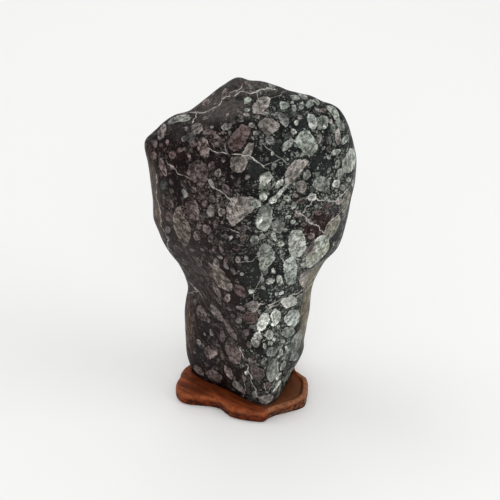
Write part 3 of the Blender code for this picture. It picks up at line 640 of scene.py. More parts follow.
def pebbles_by_eye(rng):
    """The pebbles of the front, each laid on the skin where its pixel meets it, so that it looks as it is drawn."""
    rows = [(tone, *row, 0)[:7] for tone, places in PEBBLES.items() for row in places]
    rows.sort(key=lambda row: -row[3] * row[4])
    centres, found = from_picture([row[1:3] for row in rows])
    made = []
    for (tone, x, y, long, short, lean, ring), centre, normal, hit in zip(rows, centres, skin_normal(centres), found):
        if not hit:
            continue
        size = (CAMERA_DISTANCE + (centre - AIM) @ FORWARD) * SENSOR / LENS / PICTURE

        def lay(length, angle):
            flat = math.cos(angle) * RIGHT + math.sin(angle) * UP
            slide = -(flat @ normal) / min(FORWARD @ normal, -0.42)
            return (flat + slide * FORWARD) * length * size

        turn = math.radians(lean)
        one = pebble(rng, centre, normal, lay(long, turn), lay(short, turn + math.pi / 2), tone, ring)
        if (x, y) in STRAIGHT_SIDED:
            one.update(straight_outline((x, y), STRAIGHT_SIDED[x, y], lay))
        made.append(one)
    return made


def scattered_pebbles(rng, spots, normals, shares, plain, seen, placed):
    """Pebbles of random size and tone, kept where they clear the ones before: large ones first."""
    centres = [one["centre"] for one in placed]
    radii = [0.5 * (np.linalg.norm(one["long"]) + np.linalg.norm(one["short"])) for one in placed]
    made = []
    for tries, small, large in SCATTER:
        for pick in rng.choice(len(spots), tries, p=shares):
            centre, normal = spots[pick], normals[pick]
            radius = small * (large / small) ** rng.random()
            tangent = unit(np.cross(normal, rng.normal(size=3)))
            stretch = rng.uniform(1.0, 1.5) ** 0.5
            choice, ring, light = rng.integers(8), rng.random() < RINGED_SHARE, rng.uniform(0.50, 0.90)
            if centre[2] < HIDDEN_HEIGHT:
                continue
            if not seen[pick]:
                light = light * HIDDEN_LIGHT
            elif radius > LARGEST_ON_FRONT or rng.random() > KEPT_ON_FRONT or plain[pick]:
                continue
            gap = np.linalg.norm(np.array(centres) - centre, axis=1) - PEBBLE_GAP * np.array(radii)
            if (gap < PEBBLE_GAP * radius).any():
                continue
            tone = (RIGHT_TONES if centre[0] > 8 + 14 * rng.normal() else LEFT_TONES)[choice]
            long_way, short_way = tangent * radius * stretch, np.cross(normal, tangent) * radius / stretch
            made.append(pebble(rng, centre, normal, long_way, short_way, tone, ring, light))
            centres.append(centre)
            radii.append(radius)
    return made


def pebble_marks(spots, normals, pebbles):
    """For each point of the skin, the distance outside the nearest pebble's edge, its tone and its kind. The
    distance is the rounded largest of the distances beyond the straight sides of the pebble's outline."""
    edge = np.full(len(spots), NO_PEBBLE)
    tone = np.tile(display(TONES["grey"]), (len(spots), 1))
    kind = np.tile([0.0, 0.5, 0.5], (len(spots), 1))
    for one in pebbles:
        away, reach = spots - one["centre"], one["reach"]
        near = np.nonzero((away * away).sum(axis=1) < (reach * 1.25 + NO_PEBBLE) ** 2)[0]
        place = away[near] @ np.linalg.inv(np.stack([one["long"], one["short"], one["normal"]]))
        sides = []
        for angle, offset in zip(one["angles"], one["offsets"]):
            cos, sin = math.cos(angle), math.sin(angle)
            slope = math.hypot(cos / np.linalg.norm(one["long"]), sin / np.linalg.norm(one["short"])) / offset
            sides.append(((place[:, 0] * cos + place[:, 1] * sin) / offset - 1) / slope)
        distance = soft_max(sides, 0.05 * reach) - 0.03 * reach
        facing = (normals[near] @ one["normal"] > 0.05) & (np.abs(place[:, 2]) < 0.8 * reach + NO_PEBBLE)
        distance = np.where(facing, distance, NO_PEBBLE)
        closer = (distance < edge[near]) | (distance < 0)
        picked = near[closer]
        edge[picked] = distance[closer]
        tone[picked] = one["tone"] * (1 + np.clip(place[closer, :2], -1, 1) @ one["lean"])[:, None]
        kind[picked] = one["kind"]
    return np.maximum(edge, -6.0), tone, kind


def vein_marks(spots, normals):
    """For each point and each of two layers, the signed distance to one side of the nearest vein, and how surely the
    point is in the vein's band, times the vein's strength."""
    side, on = np.full((len(spots), 3), 9.0), np.zeros((len(spots), 3))
    closest = np.full((len(spots), 2), VEIN_BAND)
    runs = []
    for *kind, pixels in VEINS:
        points, found = from_picture(pixels)
        runs.append((*kind, points[found]))
    for *kind, points in HIDDEN_VEINS:
        turns, heights = np.array(points, float).T
        turns, flat = np.radians(turns), np.zeros(len(points))
        way = np.stack([np.cos(turns), np.sin(turns), flat], axis=-1)
        runs.append((*kind, leave_stone(np.stack([flat + 4.0, flat + 2.0, heights], axis=-1), way)))
    for half, layer, strength, points in runs:
        for first, last in zip(points, points[1:]):
            run, away = last - first, spots - first
            off = away - np.clip(away @ run / (run @ run), 0, 1)[:, None] * run
            distance = np.linalg.norm(off, axis=1)
            near = np.nonzero(distance < closest[:, layer])[0]
            distance = distance[near]
            hand = np.einsum("ij,ij->i", np.cross(run[None, :], away[near]), normals[near])
            closest[near, layer] = distance
            side[near, layer] = distance * np.sign(hand) * VEIN_SPREAD / half
            on[near, layer] = strength * ease(-distance, -VEIN_BAND, -0.5 * VEIN_BAND)
    return side, on


def square_away(places, patch):
    """Sum of the squares of the offsets from a patch's centre over its radii."""
    count = places.shape[1]
    return (((places - patch[:count]) / patch[count:2 * count]) ** 2).sum(axis=1)


def patch_hills(places, patches):
    """How far each place is inside any patch: the strongest of their flat-topped bell-shaped hills."""
    count = 2 * places.shape[1]
    hills = [(*patch, 1.0)[count] * np.exp(-square_away(places, patch) ** 2) for patch in patches]
    return np.max(hills, axis=0)


def grid_corners(here, after, start, end):
    """Values at the face corners of a closed grid that runs to a point at both ends: quads row by row, then a fan at
    either end. here has the value of each row and column, and after that of the next column."""
    quads = np.stack([here[:-1], after[:-1], after[1:], here[1:]], axis=2)
    fans = [np.stack([start, after[0], here[0]], axis=1), np.stack([end, here[-1], after[-1]], axis=1)]
    return np.concatenate([part.reshape(-1, *here.shape[2:]) for part in (quads, *fans)])


def add_object(name, data):
    obj = bpy.data.objects.new(name, data)
    bpy.context.scene.collection.objects.link(obj)
    return obj


def mesh_from_grid(name, spots, ends, mat, marks):
    """A closed mesh from rows of points and its two end points, smooth all over, with a map of its own and named
    marks at its vertices: one value, three values or a colour each."""
    rows, columns = spots.shape[:2]
    index = np.arange(rows * columns).reshape(rows, columns)
    tip = np.full(columns, rows * columns)
    corners = grid_corners(index, np.roll(index, -1, axis=1), tip, tip + 1)
    place = np.stack(np.meshgrid(np.arange(columns) / columns, (np.arange(rows) + 0.5) / rows), axis=-1)
    middle = place[0] * (1, 0) + (0.5 / columns, 0)
    places = grid_corners(place, place + (1 / columns, 0), middle, middle + (0, 1))
    sizes = np.repeat([4, 3], [(rows - 1) * columns, 2 * columns])
    mesh = bpy.data.meshes.new(name)
    mesh.vertices.add(rows * columns + 2)
    mesh.vertices.foreach_set("co", (np.concatenate([spots.reshape(-1, 3), ends]) * MM).ravel())
    mesh.loops.add(len(corners))
    mesh.loops.foreach_set("vertex_index", corners.astype(np.int32))
    mesh.polygons.add(len(sizes))
    mesh.polygons.foreach_set("loop_start", (np.cumsum(sizes) - sizes).astype(np.int32))
    mesh.polygons.foreach_set("use_smooth", np.ones(len(sizes), bool))
    mesh.update(calc_edges=True)
    mesh.uv_layers.new(name="OFBake").data.foreach_set("uv", places.ravel())
    mesh.materials.append(mat)
    kinds = {1: ("FLOAT", "value"), 3: ("FLOAT_VECTOR", "vector"), 4: ("FLOAT_COLOR", "color")}
    for mark, values in marks.items():
        kind, field = kinds[values.shape[1]]
        slot = mesh.attributes.new(mark, kind, "POINT")
        slot.data.foreach_set(field, np.ascontiguousarray(values, np.float32).ravel())
    return add_object(name, mesh)


def grid_normals(spots):
    """Outward directions of a closed grid: the cross product of the steps along a row and up a column."""
    along_row = np.roll(spots, -1, axis=1) - np.roll(spots, 1, axis=1)
    return unit(np.cross(along_row, np.gradient(spots, axis=0)))


def make_stone(mat):
    rng = np.random.default_rng(SCATTER_SEED)
    turn, rise = np.meshgrid(crowded_turns(), even_rises()[1:-1])
    grid = stone_surface(turn, rise)
    ends = stone_surface(np.array([0.0, 0.0]), np.array([0.0, 1.0]))
    normals = np.concatenate([grid_normals(grid).reshape(-1, 3), [[0, 0, -1], [0, 0, 1]]])
    spots = np.concatenate([grid.reshape(-1, 3), ends])
    seen = np.einsum("ij,ij->i", normals, unit(EYE - spots)) > SEEN_FACING
    pixels = to_picture(spots)
    room = np.linalg.norm(np.roll(grid, -1, axis=1) - grid, axis=-1).reshape(-1)
    shares = np.concatenate([room, [0, 0]]) / room.sum()
    plain = np.min([square_away(pixels, patch) for patch in PLAIN_PATCHES], axis=0)
    by_eye = pebbles_by_eye(rng)
    pebbles = scattered_pebbles(rng, spots, normals, shares, plain < 1, seen, by_eye) + by_eye
    edge, tone, kind = pebble_marks(spots, normals, pebbles)
    side, on = vein_marks(spots, normals)
    crowd = np.where(seen, patch_hills(pixels, CROWDED_PATCHES), HIDDEN_CROWD)
    # pale is a painted sheen of the light from above: the top's patches, only where the skin faces up.
    pale = patch_hills(pixels, TOP_SHEEN_PATCHES) * ease(normals[:, 2], 0.15, 0.55)
    calm = ease(-plain, -1.5, -0.6) * seen
    return mesh_from_grid("pebbled_stone", grid, ends, mat, {
        "pebble_edge": edge[:, None], "pebble_tone": np.column_stack([tone, np.ones(len(tone))]),
        "pebble_kind": kind, "vein_side": side, "vein_on": on,
        "cover": np.column_stack([crowd, pale, patch_hills(spots, RED_ROCK)]),
        "ground": np.column_stack([calm, patch_hills(spots, SLANT_STREAKS), patch_hills(spots, UPRIGHT_STREAKS)]),
    })


def outline_radius(angle):
    """Distance from the origin to the stand's outline in each direction, as one closed smooth curve."""
    x, y = np.array(OUTLINE, float).T
    around, size = np.unwrap(np.arctan2(y, x)), np.hypot(x, y)
    stops = np.concatenate([around[-4:] - 2 * math.pi, around, around[:4] + 2 * math.pi])
    values = np.concatenate([size[-4:], size, size[:4]])
    return along(np.mod(angle - around[0], 2 * math.pi) + around[0], stops, values)


def seat_radius(angle):
    """Distance from the origin to the wall of the seat: where the foot's section is left by the clearance."""
    def inside(middle):
        x, y = middle * np.cos(angle), middle * np.sin(angle)
        return section_field(x, y, np.full(x.shape, TOE_HEIGHTS[0])) < SEAT_CLEARANCE
    near, far = halve(np.zeros(angle.shape), np.full(angle.shape, 80.0), inside)
    return (near + far) / 2


def from_right(angle):
    """Degrees from the right, from -180 to 180."""
    return np.degrees(np.mod(angle + math.pi, 2 * math.pi) - math.pi)


def rim_share(angle):
    """One where the lip is a raised rim and nothing where it is plain, eased between."""
    low, high = RIM_SPAN_DEG
    return ease(np.minimum(from_right(angle) - low, high - from_right(angle)) / RIM_FADE_DEG + 0.5, 0, 1)


def stand_surface(angle, level):
    """Point of the stand for a direction and a level from 0 at the underside's edge to 1 at the seat's foot: a profile
    of inset and height, mixed from the plain lip and the rim, carried round the outline and in to the seat."""
    outer, seat, rim = outline_radius(angle), seat_radius(angle), rim_share(angle)
    shrink = np.minimum(1.0, (outer - seat - NARROWEST_LEDGE - SEAT_ROUND) / PLAIN_LIP[-1][0])
    stops = np.arange(len(PLAIN_LIP), dtype=float)
    place = np.clip(level / LIP_END, 0, 1) * stops[-1]
    (plain_in, plain_z), (rim_in, rim_z) = [
        [along(place, stops, values) for values in zip(*lip)] for lip in (PLAIN_LIP, RIM_LIP)
    ]
    upright = (1 - STEEP_SHARE) * ease(from_right(angle), *STEEP_TURN_DEG)
    rim_in = rim_in * (1 - upright * ease(-place, -RIM_SIDE_POINTS, 1 - RIM_SIDE_POINTS))
    radius = outer - (plain_in * (1 - rim) + rim_in * rim) * shrink
    height = plain_z * (1 - rim) + rim_z * rim
    edge = seat + SEAT_ROUND
    inward = np.clip((level - LIP_END) / (EDGE_START - LIP_END), 0, 1)
    radius = radius * (1 - inward) + edge * inward
    inward = ease(inward, 0, 1)
    height = height * (1 - inward) + (FLOOR_HEIGHT + FLOOR_SLOPE_X * edge * np.cos(angle)) * inward
    bend = np.clip((level - EDGE_START) / (EDGE_END - EDGE_START), 0, 1) * math.pi / 2
    radius = radius - SEAT_ROUND * np.sin(bend)
    height = height - SEAT_ROUND * (1 - np.cos(bend))
    drop = np.clip((level - EDGE_END) / (1 - EDGE_END), 0, 1)
    height = height * (1 - drop) + SEAT_BOTTOM * drop
    return np.stack([radius * np.cos(angle), radius * np.sin(angle), height], axis=-1)


def tool_marks(spots):
    """Depth of the marks that a gouge leaves: waves, each a row of rounded hollows between crisp ridges."""
    return MARK_SHARE * waves(
        *np.moveaxis(spots, -1, 0), MARK_SEED, MARK_WAVES, MARK_LENGTHS, math.pi,
        lambda angle: MARK_LEVEL - np.abs(np.sin(angle)),
    )


def make_stand(mat):
    turns = np.arange(STAND_COLUMNS) * 2 * math.pi / STAND_COLUMNS
    level, angle = np.meshgrid(np.linspace(0, 1, STAND_ROWS), turns, indexing="ij")
    grid, rim = stand_surface(angle, level), rim_share(angle)
    worked = ease(level, 0.04, 0.12) * ease(-level, -0.84, -0.74)
    rough = 0.35 + 0.45 * ease(-level, -0.34, -0.24) + 1.1 * rim * ease(-level, -0.62, -0.50)
    grid = grid + grid_normals(grid) * (tool_marks(grid) * worked * rough)[..., None]
    # The band at the rounded top edge of the plain lip is where a painted highlight goes.
    edge_highlight = np.exp(-((level - 0.33) / 0.09) ** 2) * (1 - rim)
    # The rim's inner slope is where painted light goes.
    lit_rim_inside, flank = ease(level, 0.55, 0.66) * rim, ease(-level, -0.30, -0.20)
    # The last mask here is painted shade with oily dirt, growing towards the stone's foot.
    rim_top_highlight, dirt_and_shade_by_stone = np.exp(-((level - 0.425) / 0.125) ** 4) * rim, ease(level, 0.60, 0.86)
    marks = {"carving": (edge_highlight, lit_rim_inside, flank), "raised_rim": (rim_top_highlight, rim * flank, dirt_and_shade_by_stone)}
    return mesh_from_grid("carved_stand", grid, [[0, 0, 0], [0, 0, SEAT_BOTTOM]], mat, {
        name: np.concatenate([np.stack(parts, axis=-1).reshape(-1, 3), np.zeros((2, 3))])
        for name, parts in marks.items()
    })


class Value:
    """An output of a node that plus, minus and times join to another or to a number, each by a math node."""

    def __init__(self, wiring, socket):
        self.wiring, self.socket = wiring, socket

    def __add__(self, other):
        return self.wiring.math("ADD", self, other)

    def __sub__(self, other):
        return self.wiring.math("SUBTRACT", self, other)

    def __rsub__(self, other):
        return self.wiring.math("SUBTRACT", other, self)

    def __mul__(self, other):
        return self.wiring.math("MULTIPLY", self, other)

    def __abs__(self):
        return self.wiring.math("ABSOLUTE", self)


class Wiring:
    """Short ways to place the nodes of one tree and to join them."""

    def __init__(self, tree):
        self.tree = tree

    def feed(self, socket, value):
        if isinstance(value, Value):
            self.tree.links.new(value.socket, socket)
        elif value is not None:
            socket.default_value = value

    def put(self, kind, inputs, output=0, **settings):
        """A node with its inputs and settings. Its output of that name or number is the result."""
        node = self.tree.nodes.new(kind)
        for key, value in settings.items():
            setattr(node, key, value)
        for key, value in inputs.items():
            self.feed(node.inputs[key], value)
        return Value(self, node.outputs[output])

    def math(self, operation, a, b=None):
        return self.put("ShaderNodeMath", {0: a, 1: b}, operation=operation)

    def vector(self, operation, a, b):
        output = "Value" if operation == "DOT_PRODUCT" else "Vector"
        return self.put("ShaderNodeVectorMath", {0: a, 1: b}, output, operation=operation)

    def dim(self, colour, value):
        """The colour or vector times a value."""
        return self.put("ShaderNodeVectorMath", {0: colour, "Scale": value}, operation="SCALE")

    def noise(self, vector, scale, detail=3.0, roughness=0.55, distortion=0.0, output=0):
        return self.put("ShaderNodeTexNoise", {
            "Vector": vector, "Scale": scale, "Detail": detail, "Roughness": roughness, "Distortion": distortion,
        }, output)

    def bend(self, place, scale, by):
        """The place pushed about by noise of that scale."""
        push = self.vector("SUBTRACT", self.noise(place, scale, 3.0, 0.6, output="Color"), (0.5, 0.5, 0.5))
        return self.vector("ADD", place, self.dim(push, by))

    def cells(self, vector, scale, output, feature="F1"):
        return self.put("ShaderNodeTexVoronoi", {"Vector": vector, "Scale": scale}, output, feature=feature)

    def ramp(self, value, low, high, out_low=0.0, out_high=1.0):
        return self.put("ShaderNodeMapRange", {
            "Value": value, "From Min": low, "From Max": high, "To Min": out_low, "To Max": out_high,
        }, interpolation_type="SMOOTHSTEP")

    def mix(self, share, a, b):
        """From a to b by the share. A tuple is a display colour, and an array is light."""
        a, b = [(*display(c), 1.0) if isinstance(c, tuple) else c for c in (a, b)]
        a, b = [(*c, 1.0) if isinstance(c, np.ndarray) else c for c in (a, b)]
        return self.put("ShaderNodeMix", {0: share, 6: a, 7: b}, 2, data_type="RGBA")

    def mark(self, name, output="Vector"):
        return self.put("ShaderNodeAttribute", {}, output, attribute_name=name, attribute_type="GEOMETRY")

    def parts(self, vector):
        node = self.put("ShaderNodeSeparateXYZ", {0: vector}).socket.node
        return [Value(self, output) for output in node.outputs]

    def group(self, tree, **inputs):
        return self.put("ShaderNodeGroup", inputs, node_tree=tree)

    def surface(self, inputs):
        """The shader with its inputs, as the surface of the material."""
        shader = self.put("ShaderNodeBsdfPrincipled", inputs, "BSDF")
        self.feed(self.tree.nodes.new("ShaderNodeOutputMaterial").inputs["Surface"], shader)


def group(name, output, build, **inputs):
    """A node group with named sockets, with their values at first, a tuple for a vector, and one named output. build
    gets the wiring and the inputs in their order, and returns the output's value."""
    tree = bpy.data.node_groups.new(name, "ShaderNodeTree")
    for label, value in inputs.items():
        kind = "NodeSocketVector" if isinstance(value, tuple) else "NodeSocketFloat"
        tree.interface.new_socket(name=label, in_out="INPUT", socket_type=kind).default_value = value
    tree.interface.new_socket(name=output, in_out="OUTPUT", socket_type="NodeSocketFloat")
    w = Wiring(tree)
    entry, leave = tree.nodes.new("NodeGroupInput"), tree.nodes.new("NodeGroupOutput")
    w.feed(leave.inputs[output], build(w, *(Value(w, entry.outputs[label]) for label in inputs)))
    return tree


def drawn_grain_group():
    """Noise drawn out along a direction, as wood grain and rock streaks are: the part of the place along the
    direction is shortened before the noise is read."""
    def build(w, place, way, stretch, fineness):
        cut = w.vector("DOT_PRODUCT", place, way) * (1.0 - w.math("DIVIDE", 1.0, stretch))
        return w.noise(w.vector("SUBTRACT", place, w.dim(way, cut)), fineness, 4.0, 0.6, 0.6)
    return group(
        "drawn grain", "Grain", build, Place=(0.0, 0.0, 0.0), Along=(1.0, 0.0, 0.0), Stretch=10.0, Fineness=0.5,
    )


def mottle_group():
    """Uneven tone about one: slow noise and fine noise are mixed, and the contrast is the power of their spread."""
    def build(w, place, scale, contrast):
        both = w.noise(place, scale, 5.0, 0.62) * 0.74 + w.noise(place, scale * 3.2, 3.0, 0.6) * 0.26
        return w.math("POWER", 2.718, (both - 0.5) * contrast)
    return group("mottle", "Tone", build, Place=(0.0, 0.0, 0.0), Scale=0.5, Contrast=2.0)


def worn_skin_group():
    """Height of a hand-worn surface: a soft unevenness with fine pits in it."""
    def build(w, place, scale, swell, pits):
        pitted = w.ramp(w.noise(place, scale * 7.0, 2.0, 0.6), 0.30, 0.46)
        return w.noise(place, scale, 3.0, 0.5) * swell + pitted * pits
    return group("worn skin", "Height", build, Place=(0.0, 0.0, 0.0), Scale=0.3, Swell=0.3, Pits=0.1)


def new_material(name):
    mat = bpy.data.materials.new(name)
    mat.use_nodes = True
    mat.node_tree.nodes.clear()
    return mat, Wiring(mat.node_tree)


def place_in_mm(w):
    """The point's own coordinates on the object, in millimetres."""
    return w.dim(w.put("ShaderNodeTexCoord", {}, "Object"), 1000.0)


def finish_material(w, colour, roughness, height, height_mm, specular):
    bump = w.put("ShaderNodeBump", {"Height": height, "Distance": height_mm * MM, "Strength": 1.0})
    w.surface({"Base Color": colour, "Roughness": roughness, "Specular IOR Level": specular, "Normal": bump})


def rock_ground(w, place, calm, painted_top_sheen, red):
    """Plain rock between the pebbles: near black, browner on the left and greener on the right, with pale dust, and a
    painted sheen that makes the up-facing top paler and smoother.
    """
    drift = (w.noise(place, 0.035, 2.0) - 0.5) * 60.0
    green = w.ramp(w.parts(place)[0] + drift, -34.0, 30.0) * (1.0 - red)
    dark = w.mix(red, w.mix(green, (18, 8, 8), (15, 16, 16)), (29, 12, 12))
    pale = w.mix(green, (72, 57, 53), (68, 73, 69))
    cloud = w.ramp(w.noise(place, 0.16, 5.0, 0.62), 0.46, 0.74, 0.0, 0.24)
    dust = w.ramp(w.noise(place, 1.0, 4.0, 0.68), 0.52, 0.72, 0.0, 0.64)
    patchy = w.ramp(w.noise(place, 0.22, 3.0, 0.6), 0.40, 0.64, 0.05, 1.0)
    ground = w.mix(w.math("MAXIMUM", cloud, dust * patchy), dark, pale)
    plain = w.dim(w.mix(green, (42, 36, 37), (42, 45, 45)), w.ramp(dust, 0.0, 0.6, 0.75, 2.4))
    ground = w.mix(calm * w.ramp(w.noise(place, 0.3, 4.0), 0.3, 0.6, 0.25, 0.9), ground, plain)
    # Painted sheen: where the top faces up, a smooth paler tone is laid over the ground.
    smooth = painted_top_sheen * w.ramp(w.noise(place, 0.34, 6.0, 0.72), 0.36, 0.60, 0.35, 1.0)
    fine = w.ramp(w.noise(place, 1.1, 4.0, 0.7), 0.34, 0.68, 0.62, 1.45)
    return w.mix(smooth, ground, w.dim(tuple(display((86, 79, 75))), fine)), green


def fragments(w, place, colour, scale, least, most, gate, green, calm, crowd, lift):
    """Small angular fragments: straight-sided cells, some of them filled, each with its own inset and tone."""
    bent = w.bend(place, 1.3, 1.5)
    size, chance, shade = w.parts(w.cells(bent, scale, "Color"))
    walls = w.cells(bent, scale, "Distance", "DISTANCE_TO_EDGE")
    inside = w.ramp(walls - (size * (most - least) + least), 0.0, 0.07)
    cluster = w.ramp(w.noise(place, 0.075, 2.0), 0.36, 0.62, 0.30, -0.22)
    filled = w.math("GREATER_THAN", chance, cluster + gate - crowd * 0.34 + calm * 0.32)
    warm, cool = w.mix(shade, (55, 46, 43), (114, 102, 97)), w.mix(shade, (58, 63, 60), (154, 158, 148))
    tone = w.dim(w.mix(green, warm, cool), crowd * 0.35 + lift)
    return w.mix(inside * filled * w.ramp(shade, 0.0, 1.0, 0.35, 0.95), colour, tone)


def pebble_paint(w, place, colour, mottle, green):
    """The pebbles: crackled and speckled inside, with a paler border, some ringed, and a crisp uneven edge with a
    dark line outside it. They are a little warmer on the left."""
    ring, size, chance = w.parts(w.mark("pebble_kind"))
    edge = w.mark("pebble_edge", "Fac") + (w.noise(place, 0.48, 5.0, 0.70) - 0.5) * (size * 3.2 + 1.3)
    bent = w.bend(place, 0.8, 2.2)
    crack = w.ramp(abs(w.noise(bent, 0.20, 3.0, 0.55) - 0.5), 0.024, 0.004) * w.ramp(chance, 0.0, 0.5, 0.35, 0.8)
    seam = w.ramp(abs(w.noise(bent, 0.17, 3.0, 0.55) - 0.46), 0.016, 0.003) * w.ramp(chance, 1.0, 0.5, 0.2, 0.8)
    spark = w.ramp(w.cells(bent, 0.80, "Distance"), 0.30, 0.08, 0.0, 0.6)
    border = w.ramp(edge, -1.5, -0.7) * w.ramp(edge, 0.0, -0.5) * w.ramp(size, 0.10, 0.55, 0.2, 1.0)
    border = border * w.ramp(w.noise(place, 0.30, 3.0), 0.36, 0.62, 0.0, 0.62)
    rings = w.math("SINE", edge * 4.2) * (ring * 0.42)
    uneven = w.group(mottle, Place=place, Scale=0.27, Contrast=w.ramp(green, 0.0, 1.0, 12.0, 8.2))
    light = (border + w.math("MAXIMUM", spark, seam) + (rings + 0.86)) * uneven * (1.0 - crack)
    light = w.math("MINIMUM", light, 1.65)
    paint = w.put("ShaderNodeHueSaturation", {
        "Color": w.dim(w.mark("pebble_tone", "Color"), w.math("MAXIMUM", light, 0.08)),
        "Saturation": w.ramp(light, 0.7, 1.7, 1.0, 0.55),
    })
    tint = w.mix(green, np.array((1.04, 0.975, 0.97)), np.array((0.93, 0.93, 0.92)))
    halo = w.ramp(edge, 1.1, 0.3) * w.ramp(size, 0.2, 0.6, 0.2, 0.7)
    inside = w.ramp(edge, 0.16, -0.12)
    return w.mix(inside, w.dim(colour, 1.0 - halo), w.vector("MULTIPLY", paint, tint)), inside


def vein_paint(w, place, colour):
    """Thin pale veins of two layers that waver, thin out and break."""
    waver = (w.noise(place, 0.17, 4.0, 0.56) - 0.5) * 6.4
    broken = w.ramp(w.noise(place, 0.26, 3.0, 0.6), 0.30, 0.52)
    layers = list(zip(w.parts(w.mark("vein_side")), w.parts(w.mark("vein_on"))))[:2]
    lines = [w.ramp(abs(side + waver), 0.50, 0.16) * (on * broken) for side, on in layers]
    return w.mix(w.math("MAXIMUM", *lines), colour, (190, 185, 178))


def drawn_lines(w, grain, place, way, stretch, fineness):
    way = tuple(unit(np.array(way)))
    return w.group(grain, Place=place, Along=way, Stretch=stretch, Fineness=fineness)


def streaks(w, place, colour, grain, mask, way, ground, light):
    """Streaked rock: the ground tone is laid in by the mask, with light and dark lines drawn out along the way."""
    lines = drawn_lines(w, grain, place, way, 9.0, 0.62)
    colour = w.mix(w.ramp(lines, 0.34, 0.50, 0.15, 0.70) * mask, colour, ground)
    return w.mix(w.ramp(lines, 0.51, 0.66, 0.0, 0.85) * mask, colour, light)


def stone_material(mottle, grain, skin):
    mat, w = new_material("pebbled_rock")
    place = place_in_mm(w)
    calm, slant, upright = w.parts(w.mark("ground"))
    crowd, painted_top_sheen, red = w.parts(w.mark("cover"))
    colour, green = rock_ground(w, place, calm, painted_top_sheen, red)
    calm = w.math("MAXIMUM", calm, w.math("MAXIMUM", painted_top_sheen * 0.7, red * 0.3))
    for scale, least, most, gate, lift in (
        (0.80, 0.02, 0.26, 0.66, 0.66), (0.44, 0.03, 0.28, 0.68, 0.74), (0.27, 0.04, 0.26, 0.80, 0.62),
    ):
        colour = fragments(w, place, colour, scale, least, most, gate, green, calm, crowd, lift)
    colour, in_pebble = pebble_paint(w, place, colour, mottle, green)
    colour = streaks(w, place, colour, grain, slant, SLANT_WAY, (40, 32, 30), (104, 92, 87))
    ground, light = w.mix(green, (84, 69, 60), (126, 119, 98)), w.mix(green, (142, 122, 106), (170, 160, 134))
    colour = streaks(w, place, colour, grain, upright, UPRIGHT_WAY, ground, light)
    height = w.group(skin, Place=place, Scale=0.30, Swell=1.0, Pits=0.16) + in_pebble * 0.10
    roughness = w.ramp(w.noise(place, 0.7, 3.0), 0.3, 0.7, 0.38, 0.52)
    finish_material(w, vein_paint(w, place, colour), roughness, height, 0.42, 0.07)
    return mat


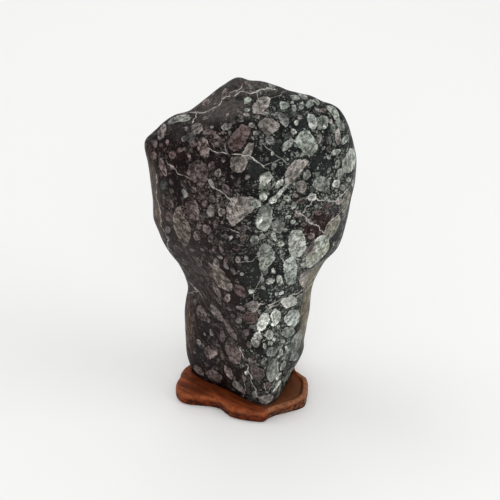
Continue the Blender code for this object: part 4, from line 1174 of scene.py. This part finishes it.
def wood_material(mottle, grain, skin):
    mat, w = new_material("oiled_redwood")
    place = place_in_mm(w)
    worn, inside, flank = w.parts(w.mark("carving"))
    rim_top_highlight, rim_side, dirt_and_shade_by_stone = w.parts(w.mark("raised_rim"))
    bands = drawn_lines(w, grain, place, GRAIN_WAY, 9.0, 0.20)
    pores = drawn_lines(w, grain, place, GRAIN_WAY, 16.0, 1.15)
    patchy = w.ramp(w.noise(place, 0.16, 4.0, 0.6), 0.36, 0.60, 0.2, 1.0)
    knobs = w.noise(place, 0.36, 5.0, 0.72)
    colour = w.mix(w.ramp(bands, 0.36, 0.66), (60, 17, 5), (138, 60, 25))
    # Each share of a tone is laid over the ones before: pores, blotches, pale dust with a painted sheen on the upper
    # faces, painted light on the rim's inside, painted shade with oily dirt on the ground beside the stone, a painted
    # highlight on the lip's rounded edge, the knobs of the rim's side, and a painted highlight on the rim's top,
    # broken by knobs.
    for share, tone in (
        (w.ramp(pores, 0.50, 0.66, 0.0, 0.75), (40, 11, 4)),
        (w.ramp(pores, 0.46, 0.32, 0.0, 0.55), (158, 92, 52)),
        (w.ramp(w.noise(place, 0.24, 5.0, 0.7), 0.48, 0.58, 0.0, 0.85) * flank, (58, 15, 8)),
        # Pale dust and a painted sheen: the upper faces, away from the sides, are made lighter.
        (0.24 - flank * 0.24, (140, 78, 50)),
        # Painted light: the rim's inner slope is made paler.
        (inside * 0.55, (112, 76, 50)),
        # Painted shade with oily dirt: the wood darkens towards the stone's foot.
        (dirt_and_shade_by_stone * 0.60, (44, 14, 5)),
        # Painted highlight in patches along the lip's rounded top edge.
        (worn * 0.40 * patchy, (172, 98, 60)),
        (rim_side * w.ramp(knobs, 0.48, 0.62, 0.0, 0.75), (146, 98, 62)),
        (rim_side * w.ramp(knobs, 0.54, 0.43, 0.0, 0.90), (44, 19, 9)),
        # Painted highlight along the rim's top, broken by the knobs.
        (rim_top_highlight * w.ramp(knobs, 0.38, 0.60, 0.25, 0.90), (158, 110, 80)),
    ):
        colour = w.mix(share, colour, tone)
    uneven = w.group(mottle, Place=place, Scale=0.12, Contrast=1.1)
    colour = w.dim(w.dim(colour, uneven), 1.0 - flank * 0.24)
    height = w.group(skin, Place=place, Scale=0.25, Swell=0.8, Pits=0.12) - pores * 0.5
    height = height + w.math("MAXIMUM", rim_side, rim_top_highlight) * (knobs * 1.6)
    roughness = w.ramp(w.noise(place, 0.4, 3.0), 0.3, 0.7, 0.36, 0.52)
    finish_material(w, colour, roughness, height, 0.35, 0.06)
    return mat


def make_floor():
    """A wide level sheet, just under the stand."""
    half, low = 8.0, -0.0002
    mat, w = new_material("pale_sheet")
    w.surface({"Base Color": (*display((246, 246, 245)), 1.0), "Roughness": 0.9})
    mesh = bpy.data.meshes.new("floor_sheet")
    corners = [(-half, -half, low), (half, -half, low), (half, half, low), (-half, half, low)]
    mesh.from_pydata(corners, [], [(0, 1, 2, 3)])
    mesh.materials.append(mat)
    add_object("floor_sheet", mesh)


def make_light():
    """Even white surroundings and four wide soft lights: in front, to the right, high on the left, and behind."""
    world = bpy.data.worlds.new("studio")
    bpy.context.scene.world = world
    world.use_nodes = True
    background = world.node_tree.nodes.get("Background") or world.node_tree.nodes.new("ShaderNodeBackground")
    background.inputs["Color"].default_value = (1.0, 1.0, 1.0, 1.0)
    background.inputs["Strength"].default_value = 0.64
    aim, width = Vector((0, 0, 0.1)), 1.2
    for name, place, power in (
        ("front", (0, -1.55, 1.10), 6.8), ("right", (1.50, -0.40, 1.10), 8.5),
        ("left_high", (-0.86, 0.40, 1.65), 5.4), ("behind", (0, 1.55, 1.10), 3.5),
    ):
        data = bpy.data.lights.new(name, "AREA")
        data.shape, data.size, data.energy = "DISK", width, power
        light = add_object(name, data)
        light.location = place
        light.rotation_euler = (aim - Vector(place)).to_track_quat("-Z", "Y").to_euler()


def make_camera():
    data = bpy.data.cameras.new("camera")
    data.lens, data.sensor_width = LENS, SENSOR
    camera = add_object("camera", data)
    camera.location = EYE * MM
    camera.rotation_euler = (math.pi / 2 - CAMERA_TILT, 0, 0)
    bpy.context.scene.camera = camera


def dress(piece, node):
    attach(piece, "root")
    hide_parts(node)


def main():
    bpy.context.scene.view_settings.view_transform = "Standard"
    groups = mottle_group(), drawn_grain_group(), worn_skin_group()
    dress(make_stone(stone_material(*groups)), "stone")
    dress(make_stand(wood_material(*groups)), "stand")
    make_floor()
    make_light()
    make_camera()


main()
